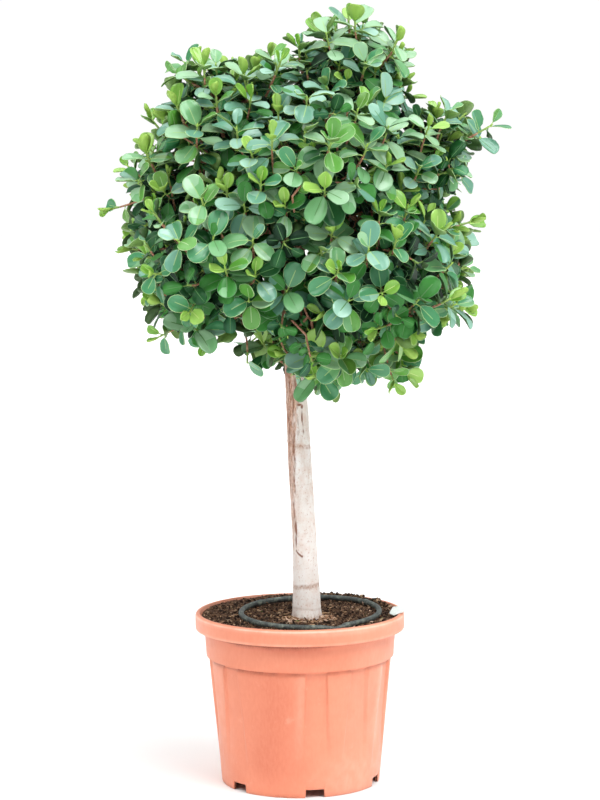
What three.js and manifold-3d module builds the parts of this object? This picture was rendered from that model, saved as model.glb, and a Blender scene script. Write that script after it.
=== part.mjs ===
// A small-leaved fig grown as a standard: one clear stem with a loosely clipped ball of foliage,
// in a fluted terracotta-coloured plastic pot with a drip ring and a plain label on the compost.
// Millimetres, +Z up. The origin is the middle of the pot's footprint, on the ground.
// The front of the plant faces -Y.

import * as THREE from "three";
import { mergeVertices } from "three/addons/utils/BufferGeometryUtils.js";
import Module from "manifold-3d";

const wasm = await Module();
wasm.setup();

// ---------------------------------------------------------------- driving sizes

const GAP = 0.4; // between pieces that touch

// Pot
const RIM_R = 190; // outer radius of the rolled rim
const RIM_TOP = 309;
const RIM_LOW = 279.5;
const RIM_INNER_R = 180.5;
const COLLAR_TOP_R = 173.8;
const COLLAR_LOW_R = 170.3;
const COLLAR_LOW = 230.5;
const BODY_TOP_R = 165.2;
const FOOT_R = 143.3;
const WALL = 3.4;
const PLATE_UNDER = 15; // the base plate is held clear of the ground by the foot ring
const PLATE_TOP = 19;
const POT_SEGMENTS = 60; // six degrees each, lined up with the flutes
const FLUTES = 12; // positions round the body; two of them are left plain for a wide panel
const FLUTE_FIRST_DEG = 10.2; // from the front, towards +X
const PLAIN_FLUTES = [5, 11]; // positions with no flute
const FLUTE_DEPTH = 4.4;
const FLUTE_HALF_TOP_DEG = 6.3;
const FLUTE_HALF_LOW_DEG = 9.4;
const FLUTE_FADE_LOW = 40; // the flutes run out into the plain foot between these heights
const FLUTE_FADE_HIGH = 150;
const NOTCHES = 6; // drainage cut-outs in the foot ring, under every other flute
const NOTCH_WIDE = 33;
const NOTCH_HIGH = 14.5;

// Compost
const SOIL_MID = 297.5; // height of the surface over the pot's axis
const SOIL_SLOPE = 0.03; // rises to the back
const SOIL_DISH = 0.00016; // and to the rim
const SOIL_ROUGH = 0.9;

// Drip ring lying on the compost
const RING_X = 19;
const RING_Y = 2;
const RING_HALF_X = 124.5;
const RING_HALF_Y = 130;
const HOSE_R = 5;

// Label leaning back on the rim, its pointed side down on the compost
const LABEL_AT = [177.5, -27.6, 312.9];
const LABEL_BACK_DEG = 20;
const LABEL_ROLL_DEG = 17;
const LABEL_WIDE = 32;
const LABEL_DEEP = 29;
const LABEL_THICK = 1.2;

// Stem: height, centre x, centre y, radius
const STEM_FOOT = 297.4;
const STEM = [
  [STEM_FOOT, 12.6, -10, 26.8],
  [305, 12.5, -10, 24.9],
  [318, 12.4, -9.8, 23.6],
  [362, 11.9, -9, 22.4],
  [417, 8.4, -8, 21.7],
  [508, 3.4, -6, 21.6],
  [590, -1.0, -4, 20.9],
  [676, -4.6, -2, 19.6],
  [745, -8, -1, 18.6],
  [815, -11.5, 0, 18.0],
  [850, -13, 0, 18.8],
  [874, -14, 0, 16.5],
  [884, -14.3, 0, 9.5],
];
const STEM_SIDES = 14;

// The space inside the ball where only wood grows
const HOLLOW = { at: [0, 0, 985], r: [146, 142, 150] };

// Masses of foliage: centre, half sizes, seed of the unevenness, and reaches, which are
// single longer shoots: [towards x, y, z, extra length, spread in radians]
const MASSES = [
  ["mass_top", [92, -12, 1248], [148, 146, 128], 11, [[-0.05, -0.1, 1, 27, 0.4], [0.8, -0.1, 0.8, 16, 0.35], [-0.9, 0, 0.6, 18, 0.35]]],
  ["mass_upper_left", [-112, -50, 1196], [148, 146, 130], 23, [[-0.65, -0.1, 0.75, 20, 0.45]]],
  ["mass_upper_right", [190, -34, 1124], [138, 146, 132], 37, [[1, 0, 0.3, 60, 0.24], [0.45, 0, 1, 16, 0.4]]],
  ["mass_front_high", [28, -192, 1104], [158, 140, 142], 41, [[-0.2, -1, 0.2, 12, 0.5]]],
  ["mass_left", [-196, -40, 1050], [132, 146, 136], 53, [[-1, 0, -0.06, 42, 0.22], [-0.45, 0, 1, 12, 0.4]]],
  ["mass_right", [192, -50, 944], [132, 146, 138], 67, [[0.7, 0, 0.8, 18, 0.35], [0.9, 0, -0.9, 16, 0.3]]],
  ["mass_front_left", [-126, -200, 960], [140, 134, 138], 71, [[-0.5, -1, 0, 10, 0.5]]],
  ["mass_front_right", [126, -204, 936], [142, 134, 140], 83, [[0.3, -1, -0.2, 10, 0.5]]],
  ["mass_low_left", [-164, -44, 902], [130, 146, 110], 97, [[-0.9, 0, -0.9, 14, 0.3], [0.45, -0.2, -1, 26, 0.3]]],
  ["mass_low_front", [52, -112, 816], [116, 124, 118], 101, [[0.1, -0.1, -1, 8, 0.5]]],
  ["mass_low_right", [144, -4, 828], [112, 136, 108], 113, [[0.52, -0.2, -1, 34, 0.3]]],
  ["mass_back_high", [-24, 160, 1160], [166, 156, 148], 127, [[-0.3, 1, 0.4, 10, 0.5]]],
  ["mass_back_left", [-144, 166, 972], [162, 158, 148], 131, [[-0.4, 1, -0.1, 12, 0.5]]],
  ["mass_back_right", [146, 170, 990], [160, 158, 150], 139, [[0.3, 1, 0.1, 12, 0.5]]],
  ["mass_low_back", [-4, 120, 836], [146, 140, 104], 149, [[0, 0.3, -1, 8, 0.5]]],
];
const MASS_DETAIL = 3; // subdivision of each mass's surface
const MASS_ROUGH = 0.09;
const MASS_MARGIN = 1.6;
const STEM_CLEARANCE = 9; // bare space round the stem where it runs up between masses

// Boughs: name, the limb it leaves, share of that limb's length, where it heads, its bend,
// radius at its foot and tip
const BOUGHS = [
  ["bough_top", "stem", 0.985, [70, -14, 1180], [-26, 6, 24], 11.5, 6.5],
  ["bough_back_high", "stem", 0.97, [-30, 120, 1120], [-14, -12, 40], 10, 6],
  ["bough_upper_left", "stem", 0.965, [-112, -44, 1130], [10, -12, 28], 10, 6],
  ["bough_right", "stem", 0.955, [160, -34, 962], [0, -8, 34], 9.5, 5.5],
  ["bough_front_right", "stem", 0.94, [92, -146, 934], [14, 14, 22], 9, 5],
  ["bough_back_left", "stem", 0.945, [-126, 128, 962], [16, -14, 26], 9, 5.5],
  ["bough_low_left", "stem", 0.925, [-150, -34, 900], [8, -8, 22], 8.5, 5],
  ["bough_low_front", "stem", 0.9, [24, -104, 822], [8, 0, 16], 7.5, 4.5],
  ["bough_low_right", "stem", 0.91, [128, -2, 830], [-8, 10, 18], 7.5, 4.5],
  ["bough_low_back", "stem", 0.9, [-10, 106, 836], [-8, 0, 16], 7.5, 4.5],
  ["bough_upper_right", "bough_top", 0.5, [170, -24, 1086], [4, -4, 10], 7.5, 5],
  ["bough_front_high", "bough_top", 0.36, [20, -140, 1080], [6, 0, 12], 7.5, 5],
  ["bough_left", "bough_upper_left", 0.42, [-176, -36, 1030], [0, -6, 8], 7, 4.5],
  ["bough_front_left", "bough_upper_left", 0.28, [-106, -150, 976], [4, 0, 10], 7, 4.5],
  ["bough_back_right", "bough_back_high", 0.32, [124, 132, 990], [0, 0, 14], 7.5, 5],
];
const BOUGH_SIDES = 6;
const BOUGH_STEPS = 5;

// ---------------------------------------------------------------- colours

const paint = (color, roughness, metalness = 0) =>
  new THREE.MeshStandardMaterial({ color, roughness, metalness });
const TERRACOTTA = paint(0xf09a78, 0.55);
const COMPOST = paint(0x3f2e23, 0.95);
const HOSE = paint(0x4a4f50, 0.6);
const LABEL = paint(0xeef2ee, 0.5);
const BARK = paint(0xded5cc, 0.85);
const TWIG_BARK = paint(0x8a5a48, 0.85);
const LEAF = paint(0x3f7a4c, 0.5);

// ---------------------------------------------------------------- helpers

const clamp01 = (t) => Math.min(1, Math.max(0, t));
const smooth = (a, b, x) => {
  const t = clamp01((x - a) / (b - a));
  return t * t * (3 - 2 * t);
};
const lerp = (a, b, t) => a + (b - a) * t;

// A seeded source of numbers from 0 to 1.
function source(seed) {
  let s = seed >>> 0;
  return () => {
    s = (s + 0x6d2b79f5) >>> 0;
    let t = s;
    t = Math.imul(t ^ (t >>> 15), t | 1);
    t ^= t + Math.imul(t ^ (t >>> 7), t | 61);
    return ((t ^ (t >>> 14)) >>> 0) / 4294967296;
  };
}

// Smooth unevenness over directions: a sum of seeded waves, about -1 to 1.
function unevenness(seed, waves = 9, low = 1.6, high = 4.6) {
  const next = source(seed);
  const terms = Array.from({ length: waves }, () => {
    const axis = new THREE.Vector3(next() - 0.5, next() - 0.5, next() - 0.5).normalize();
    const pitch = lerp(low, high, next());
    return { axis, pitch, phase: next() * Math.PI * 2, share: 1 / Math.sqrt(pitch) };
  });
  const total = terms.reduce((sum, t) => sum + t.share, 0) * 0.5;
  return (d) =>
    terms.reduce((sum, t) => sum + t.share * Math.sin(t.pitch * d.dot(t.axis) * 2 + t.phase), 0) / total;
}

// A three.js geometry as a solid, and back.
function solid(geometry) {
  const bare = geometry.clone();
  for (const name of ["normal", "uv"]) bare.deleteAttribute(name);
  const merged = mergeVertices(bare, 1e-3);
  const make = (index) =>
    new wasm.Manifold(
      new wasm.Mesh({
        numProp: 3,
        vertProperties: new Float32Array(merged.attributes.position.array),
        triVerts: index,
      }),
    );
  const index = new Uint32Array(merged.index.array);
  const made = make(index);
  if (made.volume() >= 0) return made;
  for (let i = 0; i < index.length; i += 3)
    [index[i + 1], index[i + 2]] = [index[i + 2], index[i + 1]];
  return make(index);
}

function geometryOf(body) {
  const mesh = body.getMesh();
  const n = mesh.numProp;
  const at = new Float32Array(mesh.numVert * 3);
  for (let i = 0; i < mesh.numVert; i++)
    at.set(mesh.vertProperties.subarray(i * n, i * n + 3), i * 3);
  const geometry = new THREE.BufferGeometry()
    .setAttribute("position", new THREE.BufferAttribute(at, 3))
    .setIndex(new THREE.BufferAttribute(new Uint32Array(mesh.triVerts), 1));
  geometry.computeVertexNormals();
  return geometry;
}

const largest = (body) =>
  body.decompose().reduce((best, b) => (b.volume() > best.volume() ? b : best));

const group = new THREE.Group();
const container = new THREE.Group();
const plant = new THREE.Group();
group.add(container, plant);

function place(parent, name, body, material) {
  const mesh = new THREE.Mesh(geometryOf(body), material);
  mesh.name = name;
  parent.add(mesh);
}

// Moves each vertex of a geometry by a function of its place.
function reshape(geometry, move) {
  const at = geometry.attributes.position;
  const v = new THREE.Vector3();
  for (let i = 0; i < at.count; i++) {
    v.fromBufferAttribute(at, i);
    move(v);
    at.setXYZ(i, v.x, v.y, v.z);
  }
  return geometry;
}

// A profile of [radius, height] turned about the Z axis.
const turned = (profile, segments) =>
  new THREE.LatheGeometry(profile.map(([r, z]) => new THREE.Vector2(r, z)), segments).rotateX(Math.PI / 2);

// ---------------------------------------------------------------- pot

// Angle from the front towards +X, in degrees.
const bearing = (x, y) => THREE.MathUtils.radToDeg(Math.atan2(x, -y));
const turnBetween = (a, b) => Math.abs(((a - b + 540) % 360) - 180);

// Depth of the flutes at a bearing and height.
function fluteDepth(deg, z) {
  const half = lerp(FLUTE_HALF_LOW_DEG, FLUTE_HALF_TOP_DEG, clamp01((z - 30) / 190));
  let share = 0;
  for (let k = 0; k < FLUTES; k++) {
    if (PLAIN_FLUTES.includes(k)) continue;
    const off = turnBetween(deg, FLUTE_FIRST_DEG + (360 / FLUTES) * k);
    share = Math.max(share, 1 - smooth(half - 1.2, half + 1.2, off));
  }
  return FLUTE_DEPTH * share * smooth(FLUTE_FADE_LOW, FLUTE_FADE_HIGH, z);
}

const bodyR = (z) => lerp(FOOT_R, BODY_TOP_R, clamp01(z / 222));
const INNER_LIP = [RIM_INNER_R - 5, 290]; // where the inside wall turns out into the rim
const INSIDE = [
  [0, FOOT_R - FLUTE_DEPTH - WALL],
  [223, BODY_TOP_R - FLUTE_DEPTH - WALL],
  [236, COLLAR_LOW_R - WALL],
  INNER_LIP.toReversed(),
  [RIM_TOP - 5, RIM_INNER_R],
  [RIM_TOP, RIM_INNER_R + 1.6],
];
function innerR(z) {
  const i = Math.max(1, INSIDE.findIndex(([h]) => z <= h));
  return lerp(INSIDE[i - 1][1], INSIDE[i][1], (z - INSIDE[i - 1][0]) / (INSIDE[i][0] - INSIDE[i - 1][0]));
}

const firstFlute = THREE.MathUtils.degToRad(FLUTE_FIRST_DEG);
const potOutside = reshape(
  turned(
    [
      [0, RIM_TOP],
      [RIM_R - 4, RIM_TOP],
      [RIM_R, RIM_TOP - 6],
      [RIM_R, RIM_LOW],
      [COLLAR_TOP_R, RIM_LOW + 1],
      [COLLAR_LOW_R, COLLAR_LOW],
      [BODY_TOP_R, COLLAR_LOW - 1],
      [bodyR(212), 212],
      [bodyR(150), 150],
      [bodyR(FLUTE_FADE_LOW), FLUTE_FADE_LOW],
      [FOOT_R, 0],
      [0, 0],
    ],
    POT_SEGMENTS,
  ).rotateZ(firstFlute),
  (v) => {
    const r = Math.hypot(v.x, v.y);
    if (v.z < 30 || v.z > COLLAR_LOW - 0.5 || r < FOOT_R) return;
    const share = (r - fluteDepth(bearing(v.x, v.y), v.z)) / r;
    v.x *= share;
    v.y *= share;
  },
);
const insideSegments = POT_SEGMENTS / 2;
const potInside = turned(
  [
    [0, RIM_TOP + 5],
    [RIM_INNER_R + 3.2, RIM_TOP + 5],
    ...INSIDE.slice(1, -1).toReversed().map(([z, r]) => [r, z]),
    [innerR(PLATE_TOP), PLATE_TOP],
    [0, PLATE_TOP],
  ],
  insideSegments,
).rotateZ(firstFlute);
const potUnder = turned(
  [
    [0, PLATE_UNDER],
    [FOOT_R - WALL - 0.6, PLATE_UNDER],
    [FOOT_R - WALL - 1, -5],
    [0, -5],
  ],
  insideSegments,
).rotateZ(firstFlute);

let pot = solid(potOutside).subtract(solid(potInside)).subtract(solid(potUnder));
for (let k = 0; k < NOTCHES; k++) {
  const a = THREE.MathUtils.degToRad(FLUTE_FIRST_DEG + (360 / NOTCHES) * k);
  // Wider at the ground than at its top
  const outline = new THREE.Shape([
    new THREE.Vector2(-NOTCH_WIDE / 2 - 2.5, -2),
    new THREE.Vector2(NOTCH_WIDE / 2 + 2.5, -2),
    new THREE.Vector2(NOTCH_WIDE / 2 - 1, NOTCH_HIGH),
    new THREE.Vector2(-NOTCH_WIDE / 2 + 1, NOTCH_HIGH),
  ]);
  const cutter = new THREE.ExtrudeGeometry(outline, { depth: 26, bevelEnabled: false })
    .rotateX(Math.PI / 2)
    .translate(0, -FOOT_R + 18, 0)
    .rotateZ(a);
  pot = pot.subtract(solid(cutter));
}
place(container, "pot", pot.simplify(0.02), TERRACOTTA);

// ---------------------------------------------------------------- stem

const stemCurve = new THREE.CatmullRomCurve3(STEM.map(([z, x, y]) => new THREE.Vector3(x, y, z)));
function stemRadius(z) {
  for (let i = 1; i < STEM.length; i++)
    if (z <= STEM[i][0])
      return lerp(STEM[i - 1][3], STEM[i][3], (z - STEM[i - 1][0]) / (STEM[i][0] - STEM[i - 1][0]));
  return STEM[STEM.length - 1][3];
}
const stemUneven = unevenness(7, 6, 1, 2.4);

// The stem's solid, larger all round by grow.
function stemSolid(grow) {
  const rows = STEM.length - 1;
  const shape = new THREE.CylinderGeometry(1, 1, 1, STEM_SIDES, rows).rotateX(Math.PI / 2);
  reshape(shape, (v) => {
    const row = Math.round((v.z + 0.5) * rows);
    const [z, x, y, r] = STEM[row];
    const flat = Math.hypot(v.x, v.y);
    const d = new THREE.Vector3(v.x, v.y, z / 160);
    const flare = 1 - smooth(STEM_FOOT, 330, z);
    const around = Math.atan2(v.y, v.x);
    const lobes = 0.05 * flare * Math.cos(3 * around + 0.6);
    const wide = flat > 0.5 ? r * (1 + 0.035 * stemUneven(d) + lobes) + grow : 0;
    const s = flat > 0.5 ? wide / flat : 0;
    const end = row === 0 ? -grow : row === rows ? grow : 0;
    v.set(x + v.x * s, y + v.y * s, z + end);
  });
  return solid(shape);
}
const stem = stemSolid(0);
place(plant, "stem", stem, BARK);

// ---------------------------------------------------------------- compost, drip ring, label

const soilUneven = unevenness(19, 8, 1.5, 3.5);
const soilHeight = (x, y) =>
  SOIL_MID + SOIL_SLOPE * y + SOIL_DISH * (x * x + y * y) +
  SOIL_ROUGH * soilUneven(new THREE.Vector3(x / 90, y / 90, 0.3));

const soilProfile = [
  [0, PLATE_TOP + GAP],
  [innerR(PLATE_TOP) - GAP - 0.2, PLATE_TOP + GAP],
  [innerR(223) - GAP - 0.2, 222.8],
  [innerR(236) - GAP - 0.2, 236.2],
  [INNER_LIP[0] - GAP - 0.2, INNER_LIP[1]],
  [RIM_INNER_R, 300],
  [135, 300],
  [86, 300],
  [38, 300],
  [0, 300],
];
let soil = solid(
  reshape(turned(soilProfile, insideSegments).rotateZ(firstFlute), (v) => {
    if (v.z < 295) return;
    const r = Math.hypot(v.x, v.y);
    v.z = soilHeight(v.x, v.y);
    if (r < RIM_INNER_R - 1) return;
    const share = (innerR(v.z) - GAP - 0.4) / r;
    v.x *= share;
    v.y *= share;
  }),
);
// A level seat for the foot of the stem
const seat = new THREE.CylinderGeometry(31, 31, 40, 28)
  .rotateX(Math.PI / 2)
  .translate(STEM[0][1], STEM[0][2], STEM_FOOT - GAP + 20);
soil = soil.subtract(solid(seat));
place(container, "compost", soil.simplify(0.05), COMPOST);

const hose = new THREE.TorusGeometry(100, HOSE_R, 6, 32);
reshape(hose, (v) => {
  const a = Math.atan2(v.y, v.x);
  const out = Math.hypot(v.x, v.y) - 100;
  const wobble = 1 + 0.012 * Math.sin(2 * a + 0.7) + 0.01 * Math.sin(3 * a);
  const cx = RING_X + RING_HALF_X * wobble * Math.cos(a);
  const cy = RING_Y + RING_HALF_Y * wobble * Math.sin(a);
  const up = v.z;
  v.set(cx + out * Math.cos(a), cy + out * Math.sin(a), soilHeight(cx, cy) + HOSE_R + 1.1 + up);
});
place(container, "drip_ring", solid(hose), HOSE);

const labelOutline = new THREE.Shape(
  [
    [-0.53, 0.07],
    [-0.31, -0.38],
    [0.35, -0.31],
    [0.47, 0.14],
    [0.09, 0.52],
    [-0.23, 0.62],
  ].map(([u, v]) => new THREE.Vector2(u * LABEL_WIDE, v * LABEL_DEEP)),
);
const label = new THREE.ExtrudeGeometry(labelOutline, { depth: LABEL_THICK, bevelEnabled: false })
  .rotateX(THREE.MathUtils.degToRad(LABEL_BACK_DEG))
  .rotateY(THREE.MathUtils.degToRad(-LABEL_ROLL_DEG))
  .translate(...LABEL_AT);
place(container, "label", solid(label), LABEL);

// ---------------------------------------------------------------- foliage

// Where a ray from a point leaves or enters an ellipsoid: the nearer distance ahead, or Infinity.
function reachOf({ at, r }, from, d) {
  const o = [from.x - at[0], from.y - at[1], from.z - at[2]].map((c, i) => c / r[i]);
  const u = [d.x, d.y, d.z].map((c, i) => c / r[i]);
  const a = u[0] ** 2 + u[1] ** 2 + u[2] ** 2;
  const b = o[0] * u[0] + o[1] * u[1] + o[2] * u[2];
  const c = o[0] ** 2 + o[1] ** 2 + o[2] ** 2 - 1;
  const disc = b * b - a * c;
  if (disc < 0) return Infinity;
  const t = (-b - Math.sqrt(disc)) / a;
  return t > 0 ? t : Infinity;
}

// The plane where two neighbouring masses meet, as a distance along a ray from the first one.
function meetingOf(row, other, d) {
  const apart = new THREE.Vector3(...other[1]).sub(new THREE.Vector3(...row[1]));
  const distance = apart.length();
  const size = ([, , r]) => (r[0] + r[1] + r[2]) / 3;
  const offset = (distance ** 2 + size(row) ** 2 - size(other) ** 2) / (2 * distance);
  const slant = d.dot(apart) / distance;
  return slant > 1e-6 ? offset / slant : Infinity;
}

// One uneven lobe, kept short of its neighbours and of the hollow by margin on every side.
function lobe(row, margin) {
  const [, at, r, seed, reaches] = row;
  const uneven = unevenness(seed);
  const centre = new THREE.Vector3(...at);
  const tips = reaches.map(([x, y, z, extra, spread]) => ({
    to: new THREE.Vector3(x, y, z).normalize(),
    extra,
    spread,
  }));
  const shape = new THREE.IcosahedronGeometry(1, MASS_DETAIL);
  reshape(shape, (v) => {
    const d = v.clone().normalize();
    const long = 1 / Math.hypot(d.x / r[0], d.y / r[1], d.z / r[2]);
    let out = long * (1 + MASS_ROUGH * uneven(d)) - margin;
    for (const t of tips) out += t.extra * Math.exp(-((d.angleTo(t.to) / t.spread) ** 2));
    for (const other of MASSES)
      if (other !== row) out = Math.min(out, meetingOf(row, other, d) - margin);
    out = Math.min(out, reachOf(HOLLOW, centre, d) - margin);
    v.copy(d).multiplyScalar(out).add(centre);
  });
  return solid(shape);
}

const stemSpace = stemSolid(STEM_CLEARANCE);
let foliage = null;
for (const row of MASSES) {
  const mass = largest(lobe(row, MASS_MARGIN).subtract(stemSpace));
  place(plant, row[0], mass.simplify(0.3), LEAF);
  const larger = lobe(row, MASS_MARGIN - GAP * 1.5);
  foliage = foliage ? foliage.add(larger) : larger;
}
const around = foliage.subtract(stemSolid(STEM_CLEARANCE - GAP));

// ---------------------------------------------------------------- boughs

// A tapering limb along a curve, larger all round by grow.
function limb(curve, foot, tip, grow) {
  const frames = curve.computeFrenetFrames(BOUGH_STEPS, false);
  const shape = new THREE.CylinderGeometry(1, 1, 1, BOUGH_SIDES, BOUGH_STEPS).rotateX(Math.PI / 2);
  const at = new THREE.Vector3();
  reshape(shape, (v) => {
    const row = Math.round((v.z + 0.5) * BOUGH_STEPS);
    const t = row / BOUGH_STEPS;
    curve.getPointAt(t, at);
    const flare = 1 + 0.35 * (1 - smooth(0, 0.22, t));
    const r = lerp(foot, tip, t) * flare + grow;
    const x = v.x * r;
    const y = v.y * r;
    v.copy(at)
      .addScaledVector(frames.normals[row], x)
      .addScaledVector(frames.binormals[row], y)
      .addScaledVector(frames.tangents[row], row === 0 ? -grow : row === BOUGH_STEPS ? grow : 0);
  });
  return solid(shape);
}

const curves = { stem: stemCurve };
let wood = stemSolid(GAP);
for (const [name, parent, share, to, bend, foot, tip] of BOUGHS) {
  const start = curves[parent].getPointAt(share);
  const end = new THREE.Vector3(...to);
  const middle = start.clone().lerp(end, 0.5).add(new THREE.Vector3(...bend));
  const curve = new THREE.QuadraticBezierCurve3(start, middle, end);
  curves[name] = curve;
  const bough = largest(limb(curve, foot, tip, 0).subtract(wood).subtract(around));
  place(plant, name, bough.simplify(0.08), TWIG_BARK);
  wood = wood.add(limb(curve, foot, tip, GAP));
}

export default group;
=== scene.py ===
# A round-leaved evergreen grown as a standard, in a fluted terracotta-coloured plastic pot.
# Metres, +Z up, the front of the plant faces -Y. Everything random is seeded.

import math

import bpy
import numpy as np
from mathutils import Matrix, Vector
from mathutils.bvhtree import BVHTree


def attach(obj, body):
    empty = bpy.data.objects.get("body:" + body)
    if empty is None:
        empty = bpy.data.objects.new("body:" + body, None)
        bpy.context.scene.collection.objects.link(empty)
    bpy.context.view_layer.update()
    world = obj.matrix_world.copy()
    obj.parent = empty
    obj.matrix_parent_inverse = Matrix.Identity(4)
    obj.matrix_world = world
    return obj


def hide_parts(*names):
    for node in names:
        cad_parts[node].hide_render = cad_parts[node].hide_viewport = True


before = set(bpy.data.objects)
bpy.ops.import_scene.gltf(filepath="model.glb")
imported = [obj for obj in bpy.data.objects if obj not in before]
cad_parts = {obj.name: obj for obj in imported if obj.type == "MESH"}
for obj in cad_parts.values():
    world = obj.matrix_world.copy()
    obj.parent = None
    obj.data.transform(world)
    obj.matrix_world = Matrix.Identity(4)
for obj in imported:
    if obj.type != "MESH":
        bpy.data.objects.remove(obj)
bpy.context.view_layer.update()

MM = 0.001
UP = np.array([0.0, 0.0, 1.0])


# ------------------------------------------------------------------ small maths

def unit(v):
    v = np.asarray(v, float)
    n = np.linalg.norm(v, axis=-1, keepdims=True)
    return v / np.maximum(n, 1e-12)


def smooth(a, b, x):
    t = np.clip((np.asarray(x, float) - a) / (b - a), 0.0, 1.0)
    return t * t * (3 - 2 * t)


def gradient_noise(p, seed):
    """Seeded gradient noise at points (n, 3), about -1 to 1."""
    g = np.random.default_rng(seed)
    perm = g.permutation(256)
    perm = np.concatenate([perm, perm])
    grad = unit(g.normal(size=(256, 3)))
    p = np.asarray(p, float)
    i = np.floor(p).astype(int)
    f = p - i
    u = f * f * f * (f * (f * 6 - 15) + 10)
    out = np.zeros(len(p))
    for dx in (0, 1):
        for dy in (0, 1):
            for dz in (0, 1):
                h = perm[(perm[(perm[(i[:, 0] + dx) & 255] + i[:, 1] + dy) & 255] + i[:, 2] + dz) & 255]
                d = f - np.array([dx, dy, dz])
                w = np.where(dx, u[:, 0], 1 - u[:, 0]) * np.where(dy, u[:, 1], 1 - u[:, 1]) * np.where(dz, u[:, 2], 1 - u[:, 2])
                out += w * np.einsum("ij,ij->i", grad[h], d)
    return out * 1.6


def fbm(p, seed, octaves=4, gain=0.5):
    total = np.zeros(len(p))
    size, amount = 1.0, 1.0
    for k in range(octaves):
        total += amount * gradient_noise(np.asarray(p) * size + 13.7 * k, seed + k)
        size *= 2.03
        amount *= gain
    return total


# ------------------------------------------------------------------ mesh helpers

def mesh_object(name, verts, faces, materials, smooth_faces=True):
    """faces is a list of (array of shape (m, k), material index or array of m)."""
    faces = [(np.asarray(f, int), m) for f, m in faces if len(f)]
    loops = np.concatenate([f.reshape(-1) for f, _ in faces])
    totals = np.concatenate([np.full(len(f), f.shape[1]) for f, _ in faces])
    starts = np.concatenate([[0], np.cumsum(totals)[:-1]])
    slots = np.concatenate([np.broadcast_to(m, (len(f),)) for f, m in faces])
    me = bpy.data.meshes.new(name)
    me.vertices.add(len(verts))
    me.vertices.foreach_set("co", np.asarray(verts, np.float32).ravel())
    me.loops.add(len(loops))
    me.loops.foreach_set("vertex_index", loops.astype(np.int32))
    me.polygons.add(len(totals))
    me.polygons.foreach_set("loop_start", starts.astype(np.int32))
    for m in materials:
        me.materials.append(m)
    me.polygons.foreach_set("material_index", slots.astype(np.int32))
    me.polygons.foreach_set("use_smooth", np.full(len(totals), smooth_faces))
    me.update(calc_edges=True)
    me.validate()
    ob = bpy.data.objects.new(name, me)
    bpy.context.scene.collection.objects.link(ob)
    return ob


def grid_faces(rows, cols, closed=False, start=0):
    """Quads of a grid of rows x cols vertices; closed joins the last column to the first."""
    r = np.arange(rows - 1)[:, None]
    c = np.arange(cols if closed else cols - 1)[None, :]
    d = (c + 1) % cols
    a = r * cols + c
    b = r * cols + d
    e = (r + 1) * cols + d
    f = (r + 1) * cols + c
    return np.stack([a, b, e, f], -1).reshape(-1, 4) + start


def frames_along(points):
    """Tangent and two side vectors at each point of a polyline, turning as little as it can."""
    points = np.asarray(points, float)
    t = unit(np.gradient(points, axis=0))
    side = np.cross(t[0], UP)
    if np.linalg.norm(side) < 0.1:
        side = np.cross(t[0], [0.0, 1.0, 0.0])
    side = unit(side)
    sides = [side]
    for k in range(1, len(points)):
        side = side - t[k] * np.dot(side, t[k])
        side = unit(side)
        sides.append(side)
    sides = np.array(sides)
    return t, sides, np.cross(t, sides)


class Tubes:
    """Gathers tapered tubes into one mesh."""

    def __init__(self):
        self.verts, self.faces, self.n = [], [], 0

    def add(self, points, radii, sides=6, slot=0, cap=True):
        points = np.asarray(points, float)
        t, a, b = frames_along(points)
        ang = np.arange(sides) / sides * 2 * math.pi
        ring = np.cos(ang)[None, :, None] * a[:, None, :] + np.sin(ang)[None, :, None] * b[:, None, :]
        v = points[:, None, :] + ring * np.asarray(radii, float)[:, None, None]
        n = len(points)
        self.verts.append(v.reshape(-1, 3))
        self.faces.append((grid_faces(n, sides, True, self.n), slot))
        self.n += n * sides
        if cap:
            tip = points[-1] + t[-1] * radii[-1] * 0.6
            foot = points[0] - t[0] * radii[0] * 0.3
            self.verts.append(np.array([foot, tip]))
            k = np.arange(sides)
            first = self.n - n * sides
            last = self.n - sides
            self.faces.append((np.stack([last + k, last + (k + 1) % sides, np.full(sides, self.n + 1)], 1), slot))
            self.faces.append((np.stack([first + (k + 1) % sides, first + k, np.full(sides, self.n)], 1), slot))
            self.n += 2

    def build(self, name, materials):
        return mesh_object(name, np.concatenate(self.verts), self.faces, materials)


def catmull(points, per=4):
    """A smooth polyline through points."""
    p = np.asarray(points, float)
    if len(p) < 3:
        k = np.linspace(0, 1, per + 1)[:, None]
        return p[0] * (1 - k) + p[-1] * k
    q = np.concatenate([[2 * p[0] - p[1]], p, [2 * p[-1] - p[-2]]])
    out = []
    for i in range(1, len(q) - 2):
        for s in np.arange(per) / per:
            out.append(
                0.5 * (2 * q[i] + (q[i + 1] - q[i - 1]) * s
                       + (2 * q[i - 1] - 5 * q[i] + 4 * q[i + 1] - q[i + 2]) * s * s
                       + (3 * q[i] - q[i - 1] - 3 * q[i + 1] + q[i + 2]) * s ** 3))
    out.append(p[-1])
    return np.array(out)


# ------------------------------------------------------------------ materials

def srgb(r, g, b):
    c = np.array([r, g, b]) / 255.0
    return tuple(np.where(c <= 0.04045, c / 12.92, ((c + 0.055) / 1.055) ** 2.4)) + (1.0,)


def principled(name, color, rough=0.5, spec=0.5, coat=0.0, coat_rough=0.2, sheen=0.0):
    m = bpy.data.materials.new(name)
    m.use_nodes = True
    b = m.node_tree.nodes["Principled BSDF"]
    b.inputs["Base Color"].default_value = color
    b.inputs["Roughness"].default_value = rough
    b.inputs["Specular IOR Level"].default_value = spec
    b.inputs["Coat Weight"].default_value = coat
    b.inputs["Coat Roughness"].default_value = coat_rough
    b.inputs["Sheen Weight"].default_value = sheen
    return m


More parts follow.
